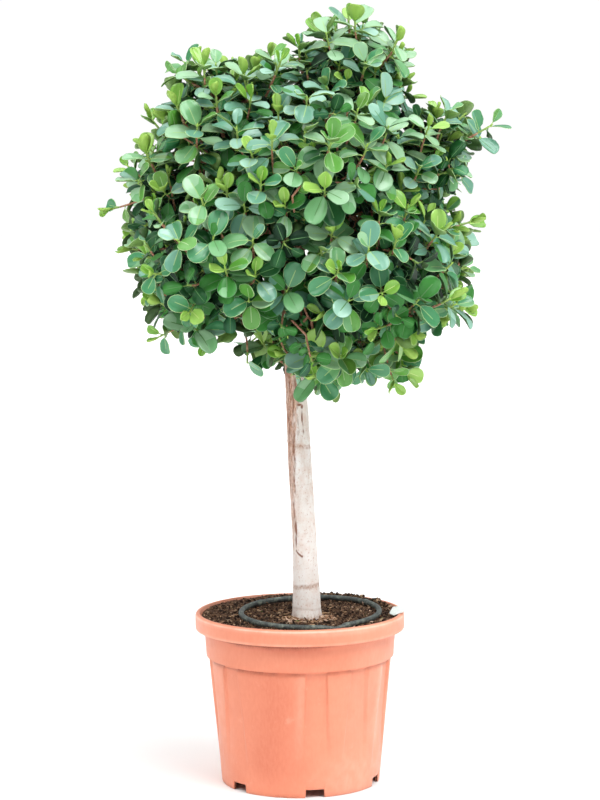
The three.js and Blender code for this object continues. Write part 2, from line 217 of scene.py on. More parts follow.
class Nodes:
    """Short names for building a node tree."""

    def __init__(self, material):
        self.t = material.node_tree
        self.bsdf = self.t.nodes["Principled BSDF"]

    def new(self, kind, **values):
        n = self.t.nodes.new(kind)
        for k, v in values.items():
            setattr(n, k, v)
        return n

    def link(self, a, b):
        self.t.links.new(a, b)

    def coords(self, scale=(1, 1, 1)):
        tc = self.new("ShaderNodeTexCoord")
        mp = self.new("ShaderNodeMapping")
        mp.inputs["Scale"].default_value = scale
        self.link(tc.outputs["Object"], mp.inputs["Vector"])
        return mp.outputs["Vector"]

    def noise(self, vector, scale, detail=4.0, rough=0.55):
        n = self.new("ShaderNodeTexNoise")
        n.inputs["Scale"].default_value = scale
        n.inputs["Detail"].default_value = detail
        n.inputs["Roughness"].default_value = rough
        self.link(vector, n.inputs["Vector"])
        return n.outputs["Fac"]

    def ramp(self, fac, stops):
        r = self.new("ShaderNodeValToRGB")
        e = r.color_ramp.elements
        while len(e) < len(stops):
            e.new(0.5)
        for el, (pos, col) in zip(e, stops):
            el.position = pos
            el.color = col
        self.link(fac, r.inputs["Fac"])
        return r.outputs["Color"]

    def mix(self, fac, a, b):
        n = self.new("ShaderNodeMix", data_type="RGBA")
        for sock, v in ((n.inputs[0], fac), (n.inputs[6], a), (n.inputs[7], b)):
            if isinstance(v, (tuple, float, int)):
                sock.default_value = v
            else:
                self.link(v, sock)
        return n.outputs[2]

    def bump(self, height, strength, distance):
        n = self.new("ShaderNodeBump")
        n.inputs["Strength"].default_value = strength
        n.inputs["Distance"].default_value = distance
        self.link(height, n.inputs["Height"])
        self.link(n.outputs["Normal"], self.bsdf.inputs["Normal"])

    def times(self, a, b):
        n = self.new("ShaderNodeMath", operation="MULTIPLY")
        self.link(a, n.inputs[0])
        self.link(b, n.inputs[1])
        return n.outputs[0]

    def attribute(self, name):
        n = self.new("ShaderNodeAttribute", attribute_name=name)
        return n.outputs["Fac"]


GREY = lambda v: (v, v, v, 1.0)

# ------------------------------------------------------------------ camera, light, floor

camera = bpy.data.objects.new("camera", bpy.data.cameras.new("camera"))
bpy.context.scene.collection.objects.link(camera)
camera.data.lens = 105.48
camera.data.sensor_width = 36.0
camera.location = (0.0027, -4.2, 1.0915)
PITCH, ROLL = math.radians(5.4175), 0.0061
camera.matrix_world = Matrix.Translation(camera.location) @ Matrix.Rotation(math.radians(90) - PITCH, 4, "X") @ Matrix.Rotation(-ROLL, 4, "Z")
bpy.context.scene.camera = camera
bpy.context.scene.view_settings.view_transform = "Standard"
bpy.context.scene.view_settings.look = "None"

world = bpy.data.worlds.new("studio")
bpy.context.scene.world = world
world.use_nodes = True


def studio_light():
    """White all round the horizon, a bright overhead and two soft boxes high in front, the right one stronger."""
    t = world.node_tree
    back = t.nodes["Background"]
    back.inputs["Color"].default_value = (1.0, 1.0, 1.0, 1.0)
    tc = t.nodes.new("ShaderNodeTexCoord")
    split = t.nodes.new("ShaderNodeSeparateXYZ")
    t.links.new(tc.outputs["Generated"], split.inputs[0])

    def span(value, low, high, a, b):
        n = t.nodes.new("ShaderNodeMapRange")
        n.interpolation_type = "SMOOTHSTEP"
        n.inputs["From Min"].default_value, n.inputs["From Max"].default_value = low, high
        n.inputs["To Min"].default_value, n.inputs["To Max"].default_value = a, b
        t.links.new(value, n.inputs["Value"])
        return n.outputs["Result"]

    def facing(direction):
        n = t.nodes.new("ShaderNodeVectorMath")
        n.operation = "DOT_PRODUCT"
        n.inputs[1].default_value = tuple(unit(direction))
        t.links.new(tc.outputs["Generated"], n.inputs[0])
        return n.outputs["Value"]

    def plus(a, b):
        n = t.nodes.new("ShaderNodeMath")
        n.operation = "ADD"
        t.links.new(a, n.inputs[0])
        t.links.new(b, n.inputs[1])
        return n.outputs[0]

    dome = span(split.outputs[2], 0.10, 0.30, 1.02, DOME)
    top = span(split.outputs[2], 0.45, 0.90, 0.0, TOP)
    key = span(facing(KEY_FROM), 0.925, 0.978, 0.0, KEY)
    fill = span(facing(FILL_FROM), 0.94, 0.985, 0.0, FILL)
    t.links.new(plus(plus(plus(dome, top), key), fill), back.inputs["Strength"])


DOME, TOP, KEY, FILL = 0.18, 1.7, 5.4, 2.3
KEY_FROM, FILL_FROM = (0.40, -0.42, 0.81), (-0.52, -0.40, 0.76)
studio_light()


def area_light(name, at, target, size, power, color=(1, 1, 1)):
    data = bpy.data.lights.new(name, "AREA")
    data.shape = "DISK"
    data.size = size
    data.energy = power
    data.color = color
    ob = bpy.data.objects.new(name, data)
    bpy.context.scene.collection.objects.link(ob)
    ob.location = at
    ob.rotation_euler = (Vector(target) - Vector(at)).to_track_quat("-Z", "Y").to_euler()
    return ob


area_light("key", (2.1, -2.4, 3.6), (0.0, 0.0, 0.95), 1.1, 12.0)

floor_mat = principled("floor_white", (0.92, 0.92, 0.92, 1.0), rough=0.9, spec=0.1)
fl = Nodes(floor_mat)
floor_tone = fl.ramp(fl.noise(fl.coords(), 3.0, 2.0), [(0.3, GREY(0.90)), (0.7, GREY(0.92))])
fl.link(floor_tone, fl.bsdf.inputs["Base Color"])
S = 40.0
floor = mesh_object("floor", [(-S, -S, 0), (S, -S, 0), (S, S, 0), (-S, S, 0)], [([[0, 1, 2, 3]], 0)], [floor_mat])
floor.location.z = -0.0004

# ------------------------------------------------------------------ pot

RIM_R, RIM_TOP, RIM_LOW, RIM_INNER_R = 190.0, 309.0, 279.5, 180.5
COLLAR_TOP_R, COLLAR_LOW_R, COLLAR_LOW = 173.8, 170.3, 230.5
BODY_TOP_R, FOOT_R, WALL, PLATE_UNDER, PLATE_TOP = 165.2, 143.3, 3.4, 15.0, 19.0
FLUTES = [10.2 + 30.0 * k for k in range(12) if k not in (5, 11)]
NOTCHES = [10.2 + 60.0 * k for k in range(6)]
PANEL_TOP = 226.0


def rounded(corners, steps=4):
    """A polyline through (r, z, radius) corners, each rounded by its radius."""
    pts = []
    for i, (r, z, rad) in enumerate(corners):
        p = np.array([r, z], float)
        if rad <= 0 or i in (0, len(corners) - 1):
            pts.append(p)
            continue
        a = unit(np.array(corners[i - 1][:2]) - p)
        b = unit(np.array(corners[i + 1][:2]) - p)
        half = math.acos(np.clip(np.dot(a, b), -1, 1)) / 2
        cut = rad / math.tan(half)
        pa, pb = p + a * cut, p + b * cut
        centre = p + unit(a + b) * rad / math.sin(half)
        va, vb = pa - centre, pb - centre
        total = math.acos(np.clip(np.dot(unit(va), unit(vb)), -1, 1))
        for s in np.linspace(0, 1, steps):
            w = (math.sin((1 - s) * total) * va + math.sin(s * total) * vb) / math.sin(total)
            pts.append(centre + w)
    return np.array(pts)


def body_r(z):
    return FOOT_R + (BODY_TOP_R - FOOT_R) * np.clip(np.asarray(z, float) / 222.0, 0, 1.06)


def refine(points, step):
    out = [points[0]]
    for p, q in zip(points[:-1], points[1:]):
        n = max(1, int(math.ceil(np.linalg.norm(q - p) / step(0.5 * (p[1] + q[1])))))
        out += [p + (q - p) * k / n for k in range(1, n + 1)]
    return np.array(out)


def build_pot():
    low = [(FOOT_R, 0.0, 1.2)]
    outer = rounded(
        [(FOOT_R - 1.4, 0.0, 0), (FOOT_R, 0.0, 1.2), (BODY_TOP_R + 0.7, 229.6, 0.9), (COLLAR_LOW_R, 230.3, 1.6),
         (172.7, 264.0, 0), (COLLAR_TOP_R, 280.2, 1.4), (RIM_R - 0.3, 279.3, 2.2), (RIM_R, RIM_TOP, 5.6), (RIM_INNER_R + 1.6, RIM_TOP, 1.5),
         (RIM_INNER_R - 5, 290.0, 1.5), (167.5, 236.0, 0), (158.0, 222.0, 0), (136.5, PLATE_TOP, 0), (0.0, PLATE_TOP, 0)], 5)
    body = (outer[:, 1] < 229.9) & (np.arange(len(outer)) < 12)
    cut = int(np.argmax(outer[:, 1] >= RIM_TOP - 0.01)) + 8
    skin = refine(outer[:cut], lambda z: 1.8 if 216 < z < 231 else (8.0 if z < 216 else (1.5 if 264 < z < 286 else (4.5 if z > 280 else 9.0))))
    outer = np.concatenate([skin, refine(outer[cut - 1:], lambda z: 40.0)[1:]])
    under = rounded([(0.0, PLATE_UNDER, 0), (FOOT_R - WALL - 0.6, PLATE_UNDER, 2.0), (FOOT_R - WALL - 1.0, 0.0, 1.0), (FOOT_R - 1.4, 0.0, 0)], 4)
    under = refine(under, lambda z: 30.0)
    # Inner surfaces that nothing shows need few rows
    profile = np.concatenate([outer, under[:-1]])
    # Bearings, closer together at the flutes' and cut-outs' edges
    marks = set(np.round(np.arange(0, 360, 2.0), 3))
    for f in FLUTES:
        marks |= set(np.round((f + np.arange(-11, 11.01, 0.8)) % 360, 3))
    for f in NOTCHES:
        for e in (-7.1, -6.95, -6.5, 6.5, 6.95, 7.1):
            marks.add(round((f + e) % 360, 3))
    deg = np.array(sorted(marks))
    a = np.radians(deg)
    r = np.repeat(profile[:, 0][:, None], len(deg), 1)
    z = np.repeat(profile[:, 1][:, None], len(deg), 1)
    ang = np.repeat(deg[None, :], len(profile), 0)
    k = np.arange(len(profile))[:, None]
    on_body = (r > body_r(z) - 1.5) & (z > 20) & (z < 229.9) & (k < len(outer))
    # Flutes: the panels stand proud, with rounded upper corners and edges that soften downwards
    off = np.full(ang.shape, 99.0)
    for f in FLUTES:
        off = np.minimum(off, np.abs((ang - f + 540) % 360 - 180))
    half = 9.4 + (6.3 - 9.4) * np.clip((z - 30) / 190, 0, 1)
    edge = (off - half) * math.pi / 180 * body_r(z)
    top = PANEL_TOP - z
    rc = 6.0
    corner = rc - np.hypot(np.maximum(rc - edge, 0), np.maximum(rc - top, 0))
    dist = np.where((edge < rc) & (top < rc), corner, np.minimum(edge, top))
    width = 2.3 + 6.5 * (1 - smooth(45, 180, z))
    share = 1 - smooth(0, 1, dist / width + 0.15)
    depth = 4.9 * share * smooth(14, 135, z) * on_body
    # The flutes sink below the panels
    r = r - depth
    # Drainage cut-outs: the foot ring is cut away from below
    notch = np.zeros(ang.shape)
    for f in NOTCHES:
        o = np.abs((ang - f + 540) % 360 - 180)
        notch = np.maximum(notch, 1 - smooth(6.5, 7.1, o))
    zb = 14.2 * notch
    low_part = (z < 24) & ((k < len(outer)) & (r > 130) | (k >= len(outer)) & (r > 134))
    z = np.where(low_part, zb + z / 24 * (24 - zb), z)
    z = np.where((k >= len(outer)) & (r <= 134), PLATE_UNDER, z)
    # A moulding is never quite round
    wob = 0.35 * np.sin(np.radians(ang) * 2 + 0.8) + 0.2 * np.sin(np.radians(ang) * 3 + 2)
    r = np.where(r > 60, r + wob * smooth(60, 280, z), r)
    x = r * np.sin(a)[None, :]
    y = -r * np.cos(a)[None, :]
    grid = np.stack([x, y, z], -1) * MM
    rows, cols = grid.shape[:2]
    verts = grid.reshape(-1, 3)
    faces = grid_faces(rows, cols, True)
    plate_in = len(outer) - 1
    # The two rows on the axis close to points
    pot_mat = pot_material()
    ob = mesh_object("pot_shell", verts, [(faces, 0)], [pot_mat])
    import bmesh
    bm = bmesh.new()
    bm.from_mesh(ob.data)
    bmesh.ops.remove_doubles(bm, verts=bm.verts, dist=2e-6)
    bmesh.ops.recalc_face_normals(bm, faces=bm.faces)
    bm.to_mesh(ob.data)
    bm.free()
    return ob


def pot_material():
    m = principled("pot_plastic", srgb(240, 150, 116), rough=0.46, spec=0.5)
    n = Nodes(m)
    at = n.coords()
    broad = n.noise(at, 7.0, 3.0)
    tone = n.ramp(broad, [(0.3, srgb(225, 134, 102)), (0.7, srgb(236, 148, 116))])
    # Deeper in tone on the left, partly its own tone and partly painted shade, with a painted shadow on the collar
    # under the rim; faded and dusty elsewhere
    tone = n.mix(n.attribute("deep"), tone, srgb(216, 122, 91))
    speck = n.noise(n.coords((1, 1, 0.35)), 240.0, 3.0)
    fine = n.ramp(speck, [(0.35, GREY(0.0)), (0.7, GREY(0.12))])
    tone = n.mix(fine, tone, srgb(250, 176, 144))
    # Faded in places, with painted highlights along the rim's edges and two panel edges, and the right side and far
    # left painted lighter
    cloud = n.ramp(n.noise(n.coords((1, 1, 0.6)), 34.0, 6.0, 0.7), [(0.30, GREY(0.35)), (0.72, GREY(1.0))])
    tone = n.mix(n.times(n.attribute("fade_and_painted_light"), cloud), tone, srgb(255, 212, 190))
    dust = n.noise(at, 26.0, 6.0, 0.7)
    dust_fac = n.ramp(dust, [(0.62, GREY(0.0)), (0.80, GREY(0.35))])
    tone = n.mix(dust_fac, tone, srgb(247, 196, 172))
    # Painted shadow under the rim and under the collar's lower step, and darker at the very foot
    grit = n.ramp(n.noise(at, 700.0, 2.0, 0.6), [(0.40, GREY(0.55)), (0.62, GREY(1.0))])
    tone = n.mix(n.times(n.attribute("painted_shade_and_dark_foot"), grit), tone, srgb(128, 56, 38))
    n.link(tone, n.bsdf.inputs["Base Color"])
    rough = n.ramp(n.noise(at, 60.0, 5.0), [(0.3, GREY(0.38)), (0.75, GREY(0.54))])
    n.link(rough, n.bsdf.inputs["Roughness"])
    n.bump(n.noise(at, 420.0, 3.0), 0.18, 0.0006)
    return m


def paint_pot_wear_and_light(ob):
    """Where the pot is faded, deeper in colour or grimy, and where light and shade are painted on it (highlights on the
    rim's edges, panel edges and right side, shade on the left and under the rim and collar), as values of its points.
    """
    co = np.array([v.co for v in ob.data.vertices]) / MM
    r, z = np.hypot(co[:, 0], co[:, 1]), co[:, 2]
    deg = np.degrees(np.arctan2(co[:, 0], -co[:, 1]))
    slow, quick = gradient_noise(co / 46.0, 301), gradient_noise(co / 15.0, 302)
    outside = (r > body_r(z) - 7) | (z > 300)
    body = outside & (z < 226)
    collar = outside & (z >= 226) & (z < 279)
    rim = outside & (z >= 279)
    fade_and_painted_light = np.zeros(len(co))
    # Painted light: the rim lighter to the right and at the far left, painted highlights along the rim's rounded top,
    # on a band of its front face and on its lower lip, and the body and collar lighter on the right and at the far left
    fade_and_painted_light += rim * (0.02 + 0.12 * smooth(5, 60, deg) + 0.16 * smooth(-40, -72, deg))
    fade_and_painted_light += np.exp(-((z - 305.4) / 1.8) ** 2) * (r > 185.5) * (0.80 + 0.25 * quick + 0.2 * smooth(-12, 12, deg) * smooth(62, 34, deg))
    fade_and_painted_light += np.exp(-((z - 299.5) / 3.2) ** 2) * (r > 188) * 0.20 * smooth(-6, 16, deg) * smooth(60, 30, deg)
    fade_and_painted_light += np.exp(-((z - 281.6) / 1.7) ** 2) * (r > 187.5) * 0.32 * (0.8 + 0.5 * quick)
    fade_and_painted_light += body * (0.14 * smooth(14, 44, deg) + 0.14 * smooth(-48, -64, deg)) + collar * (0.20 * smooth(18, 52, deg) + 0.04 * smooth(-40, -64, deg))
    low = smooth(95, 25, z) * smooth(2, 26, deg)
    fade_and_painted_light += body * low * 0.24 * (0.7 + 0.6 * quick)
    # Painted highlights along two panel edges
    fade_and_painted_light += body * np.exp(-((deg - 63) / 4.5) ** 2) * smooth(60, 110, z) * 0.5 * (0.8 + 0.5 * quick)
    fade_and_painted_light += body * np.exp(-((deg + 3.5 - 0.02 * z) / 2.6) ** 2) * smooth(40, 120, z) * 0.16
    fade_and_painted_light += (np.abs(deg) > 95) * 0.12 * (1 + slow)
    # Painted shade: the front left of centre (partly also a deeper tone of its own), the body's left side, the rim's
    # front and the collar's left darker, away from the light on the right; a painted shadow on the collar just under
    # the rim
    deep = body * np.exp(-((deg + 20) / 21) ** 2) * (0.90 + 0.3 * slow) * smooth(8, 60, z)
    deep += body * 0.12 * smooth(-34, -50, deg) * smooth(-80, -66, deg)
    deep += rim * 0.46 * smooth(40, 10, deg) * smooth(-66, -30, deg)
    deep += collar * (0.36 + 0.2 * slow) * smooth(36, 0, deg) * smooth(-75, -45, deg)
    deep += collar * 0.75 * np.exp(-((deg + 6) / 17) ** 2) * smooth(250, 274, z)
    # Painted shadow in the angle under the rim, on the collar beneath it and under the collar's lower step; darker at
    # the very foot
    painted_shade_and_dark_foot = np.exp(-((z - 279.6) / 1.6) ** 2) * (r < 187) * outside * (0.20 + 0.42 * smooth(30, -20, deg) + 0.2 * quick)
    painted_shade_and_dark_foot += collar * np.exp(-((z - 276.3) / 2.1) ** 2) * (0.22 + 1.15 * smooth(26, -2, deg) * smooth(-62, -36, deg) * (0.9 + 0.3 * quick))
    painted_shade_and_dark_foot += collar * np.exp(-((z - 272.5) / 3.4) ** 2) * smooth(20, -4, deg) * smooth(-52, -34, deg) * (0.30 + 0.2 * quick)
    painted_shade_and_dark_foot += np.exp(-((z - 229.2) / 1.7) ** 2) * (r < 169.6) * (r > 160) * (0.26 + 0.42 * smooth(-5, -40, deg) + 0.45 * quick)
    painted_shade_and_dark_foot += (z < 3) * 0.25 * (1 + quick)
    for name, values in (("fade_and_painted_light", fade_and_painted_light), ("deep", deep), ("painted_shade_and_dark_foot", painted_shade_and_dark_foot)):
        attr = ob.data.attributes.new(name, "FLOAT", "POINT")
        attr.data.foreach_set("value", np.clip(values, 0, 1).astype(np.float32))


pot = build_pot()
paint_pot_wear_and_light(pot)
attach(pot, "root")
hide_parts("pot")

# ------------------------------------------------------------------ compost

SOIL_MID, SOIL_SLOPE, SOIL_DISH = 297.5, 0.03, 0.00016
STEM_AT = (12.6, -10.0)


def soil_z(x, y):
    """Height of the compost in mm, without its lumps."""
    low = np.exp(-((x + 100) / 85) ** 2 - ((y - 150) / 55) ** 2)
    return SOIL_MID + SOIL_SLOPE * y + SOIL_DISH * (x * x + y * y) - 1.5 * low


def soil_lumps(x, y):
    p = np.stack([x, y, np.full(len(x), 4.0)], 1)
    big = fbm(p / 34.0, 5, 2)
    mid = fbm(p / 11.0, 15, 3)
    fine = fbm(p / 3.6, 25, 2)
    near = np.exp(-(np.hypot(x - STEM_AT[0], y - STEM_AT[1]) / 40.0) ** 2)
    return 1.5 * big + 1.7 * np.abs(mid) + 0.75 * fine + 1.4 * near


def build_soil():
    radii = np.concatenate([[0.0], np.linspace(2.2, 177.5, 82)])
    turns = 300
    a = np.arange(turns) / turns * 2 * math.pi
    R, A = np.meshgrid(radii, a, indexing="ij")
    jit = np.random.default_rng(3).normal(size=R.shape) * 0.35
    R2 = np.clip(R + jit * (R > 3) * (R < 177), 0, 177.5)
    x, y = R2 * np.cos(A), R2 * np.sin(A)
    z = soil_z(x, y) + soil_lumps(x.ravel(), y.ravel()).reshape(x.shape)
    grid = np.stack([x, y, z], -1).reshape(-1, 3)
    faces = [(grid_faces(len(radii), turns, True), 0)]
    # Skirt and closed bottom, out of sight inside the pot
    ring = []
    for zz, rr in ((285.0, 172.8), (240.0, 165.0), (222.0, 155.8), (20.0, 134.8)):
        ring.append(np.stack([rr * np.cos(a), rr * np.sin(a), np.full(turns, zz)], 1))
    first = (len(radii) - 1) * turns
    allv = np.concatenate([grid] + ring + [np.array([[0.0, 0.0, 20.0]])])
    base = len(grid)
    order = np.arange(turns)
    prev = first
    for q in range(len(ring)):
        cur = base + q * turns
        faces.append((np.stack([prev + order, prev + (order + 1) % turns, cur + (order + 1) % turns, cur + order], 1), 0))
        prev = cur
    faces.append((np.stack([prev + order, prev + (order + 1) % turns, np.full(turns, len(allv) - 1)], 1), 0))
    ob = mesh_object("compost_bed", allv * MM, faces, [soil_material()])
    import bmesh
    bm = bmesh.new()
    bm.from_mesh(ob.data)
    bmesh.ops.remove_doubles(bm, verts=bm.verts, dist=1e-6)
    bmesh.ops.recalc_face_normals(bm, faces=bm.faces)
    bm.to_mesh(ob.data)
    bm.free()
    return ob


def soil_material():
    m = principled("compost", srgb(62, 45, 34), rough=0.95, spec=0.2)
    n = Nodes(m)
    at = n.coords()
    tone = n.ramp(n.noise(at, 150.0, 5.0, 0.65), [(0.32, srgb(42, 30, 23)), (0.5, srgb(84, 62, 48)), (0.68, srgb(134, 105, 83))])
    n.link(tone, n.bsdf.inputs["Base Color"])
    n.bump(n.noise(at, 420.0, 4.0), 0.8, 0.0012)
    return m


ICO = None


def icosahedron():
    t = (1 + 5 ** 0.5) / 2
    v = unit(np.array([(-1, t, 0), (1, t, 0), (-1, -t, 0), (1, -t, 0), (0, -1, t), (0, 1, t), (0, -1, -t), (0, 1, -t),
                       (t, 0, -1), (t, 0, 1), (-t, 0, -1), (-t, 0, 1)], float))
    f = np.array([(0, 11, 5), (0, 5, 1), (0, 1, 7), (0, 7, 10), (0, 10, 11), (1, 5, 9), (5, 11, 4), (11, 10, 2), (10, 7, 6), (7, 1, 8),
                  (3, 9, 4), (3, 4, 2), (3, 2, 6), (3, 6, 8), (3, 8, 9), (4, 9, 5), (2, 4, 11), (6, 2, 10), (8, 6, 7), (9, 8, 1)])
    return v, f


def random_turns(g, n):
    q = unit(g.normal(size=(n, 4)))
    w, x, y, z = q.T
    return np.stack([
        np.stack([1 - 2 * (y * y + z * z), 2 * (x * y - z * w), 2 * (x * z + y * w)], -1),
        np.stack([2 * (x * y + z * w), 1 - 2 * (x * x + z * z), 2 * (y * z - x * w)], -1),
        np.stack([2 * (x * z - y * w), 2 * (y * z + x * w), 1 - 2 * (x * x + y * y)], -1)], 1)


def build_crumbs():
    g = np.random.default_rng(41)
    v, f = icosahedron()
    n = 5200
    r = 176.5 * np.sqrt(g.random(n))
    a = g.random(n) * 2 * math.pi
    x, y = r * np.cos(a), r * np.sin(a)
    size = 0.8 + 2.3 * g.random(n) ** 2.6
    # Loose clods thrown up against the back of the rim and round the stem
    back = g.random(n) < 0.08
    ab = g.normal(size=n) * 0.42 + 1.02
    rb = 177.0 - 9 * g.random(n)
    x = np.where(back, rb * np.cos(ab), x)
    y = np.where(back, rb * np.sin(ab), y)
    size = np.where(back, size * 1.25, size)
    size = np.where((np.hypot(x, y) > 160) & (y > 20) & (x < 30), size * 0.55, size)
    keep = np.hypot(x - STEM_AT[0], y - STEM_AT[1]) > 26
    x, y, size, back = x[keep], y[keep], size[keep], back[keep]
    n = len(x)
    z = soil_z(x, y) + soil_lumps(x, y) + size * 0.35 + back * g.random(n) * 2.6
    stretch = 0.6 + 0.9 * g.random((n, 3))
    rough = 1 + 0.28 * g.normal(size=(n, 12, 1))
    shapes = v[None] * rough * stretch[:, None] * size[:, None, None]
    turned = np.einsum("nij,nkj->nki", random_turns(g, n), shapes)
    verts = turned + np.stack([x, y, z], 1)[:, None]
    rr = np.hypot(verts[..., 0], verts[..., 1])
    push = np.where(rr > 180.0, 180.0 / rr, 1.0)
    verts[..., :2] *= push[..., None]
    faces = f[None] + (np.arange(n) * 12)[:, None, None]
    kind = g.choice(4, n, p=[0.40, 0.34, 0.2, 0.06])
    mats = [principled("crumb_%d" % i, srgb(*c), rough=0.95, spec=0.2) for i, c in enumerate(
        [(46, 33, 26), (84, 63, 49), (120, 93, 73), (172, 144, 118)])]
    return mesh_object("compost_crumbs", verts.reshape(-1, 3) * MM, [(faces.reshape(-1, 3), np.repeat(kind, 20))], mats, False)


def build_chips():
    """Shreds of bark round the foot of the stem, and a few over the compost."""
    g = np.random.default_rng(43)
    v, f = icosahedron()
    n = 190
    near = np.arange(n) < 110
    a = np.where(np.arange(n) < 70, g.normal(size=n) * 0.75 - 0.75, g.random(n) * 2 * math.pi)
    a = np.where((np.arange(n) >= 70) & near, g.normal(size=n) * 0.35 - 2.35, a)
    r = np.where(near, 27 + 30 * g.random(n) ** 1.3, 165 * np.sqrt(g.random(n)))
    x, y = np.where(near, STEM_AT[0], 0) + r * np.cos(a), np.where(near, STEM_AT[1], 0) + r * np.sin(a)
    keep = np.hypot(x - STEM_AT[0], y - STEM_AT[1]) > 26
    x, y, near = x[keep], y[keep], near[keep]
    n = len(x)
    long = (2.4 + 5.2 * g.random(n) ** 1.8) * np.where(near, 1.15, 0.7)
    shape = np.stack([long, long * g.uniform(0.16, 0.42, n), np.full(n, 0.55) + 0.4 * g.random(n)], 1)
    shapes = v[None] * (1 + 0.24 * g.normal(size=(n, 12, 1))) * shape[:, None]
    # Bent along their length, lying nearly flat
    shapes[..., 2] += (shapes[..., 0] ** 2) * (0.05 * g.normal(size=n) + 0.02)[:, None]
    spin, tilt, roll = g.random(n) * 6.28, g.normal(size=n) * 0.28, g.normal(size=n) * 0.5
    cy, sy_, cp, sp, cr, sr = np.cos(spin), np.sin(spin), np.cos(tilt), np.sin(tilt), np.cos(roll), np.sin(roll)
    px, py_, pz = shapes[..., 0], shapes[..., 1] * cr[:, None] - shapes[..., 2] * sr[:, None], shapes[..., 1] * sr[:, None] + shapes[..., 2] * cr[:, None]
    qx, qz = px * cp[:, None] - pz * sp[:, None], px * sp[:, None] + pz * cp[:, None]
    turned = np.stack([qx * cy[:, None] - py_ * sy_[:, None], qx * sy_[:, None] + py_ * cy[:, None], qz], -1)
    z = soil_z(x, y) + soil_lumps(x, y) + 1.5 + np.abs(np.sin(tilt)) * long * 0.6
    verts = turned + np.stack([x, y, z], 1)[:, None]
    kind = g.choice(3, n, p=[0.34, 0.40, 0.26])
    mats = [principled("chip_%d" % i, srgb(*c), rough=0.9, spec=0.25) for i, c in enumerate([(216, 184, 160), (182, 144, 116), (140, 104, 80)])]
    faces = (f[None] + (np.arange(n) * 12)[:, None, None]).reshape(-1, 3)
    return mesh_object("compost_chips", verts.reshape(-1, 3) * MM, [(faces, np.repeat(kind, 20))], mats, False)


def build_fibres():
    g = np.random.default_rng(57)
    tubes = Tubes()
    mats = [principled("fibre_tan", srgb(196, 158, 122), rough=0.9, spec=0.2),
            principled("fibre_brown", srgb(128, 92, 66), rough=0.9, spec=0.2),
            principled("fleck_green", srgb(96, 128, 60), rough=0.8, spec=0.3)]
    for i in range(190):
        near = i < 46
        if near:
            r = 26 + 26 * g.random() ** 1.4
            a = g.random() * 2 * math.pi
            if i < 30:
                a = g.normal() * 0.9 - math.pi / 2 + 0.5
            x, y = STEM_AT[0] + r * math.cos(a), STEM_AT[1] + r * math.sin(a)
        else:
            r, a = 168 * math.sqrt(g.random()), g.random() * 2 * math.pi
            x, y = r * math.cos(a), r * math.sin(a)
            if math.hypot(x - STEM_AT[0], y - STEM_AT[1]) < 28:
                continue
        long = (5 + 15 * g.random() ** 2) * (1.25 if near else 0.8)
        d = unit(np.array([g.normal(), g.normal(), 0.12 + 0.25 * g.random()]))
        bend = np.array([g.normal(), g.normal(), 0.2 * g.normal()]) * long * 0.16
        s = np.linspace(-0.5, 0.5, 5)[:, None]
        p = np.array([x, y, 0.0]) + d * long * s + bend * (0.25 - s * s) * 2
        z0 = soil_z(p[:, 0], p[:, 1]) + soil_lumps(p[:, 0], p[:, 1])
        p[:, 2] = np.maximum(z0 + 0.7, z0.mean() + 0.9 + (p[:, 2]) * 0.6)
        thick = 0.35 + 0.75 * g.random() ** 2
        if i % 3 == 0:
            thick *= 1.5
        kind = 0 if g.random() < 0.55 else 1
        if g.random() < 0.09:
            kind = 2
        tubes.add(p * MM, np.array([0.6, 1, 1, 0.9, 0.5]) * thick * MM, 5, kind)
    # Two fine surface roots running out from the foot of the stem
    for a0, long in ((0.35, 46), (-0.25, 38), (-2.7, 34), (-1.2, 30)):
        s = np.linspace(0, 1, 12)
        ang = a0 + 0.5 * np.sin(s * 3 + a0)
        x = STEM_AT[0] + (23 + long * s) * np.cos(ang)
        y = STEM_AT[1] + (23 + long * s) * np.sin(ang)
        z = soil_z(x, y) + soil_lumps(x, y) + 1.6 - 2.4 * s
        tubes.add(np.stack([x, y, z], 1) * MM, (2.3 - 1.7 * s) * MM, 7, 0)
    return tubes.build("compost_fibres", mats)


soil = build_soil()
crumbs = build_crumbs()
fibres = build_fibres()
chips = build_chips()
for ob in (soil, crumbs, fibres, chips):
    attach(ob, "root")
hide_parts("compost")

# ------------------------------------------------------------------ drip ring and label

RING = (19.0, 2.0, 124.5, 130.0)


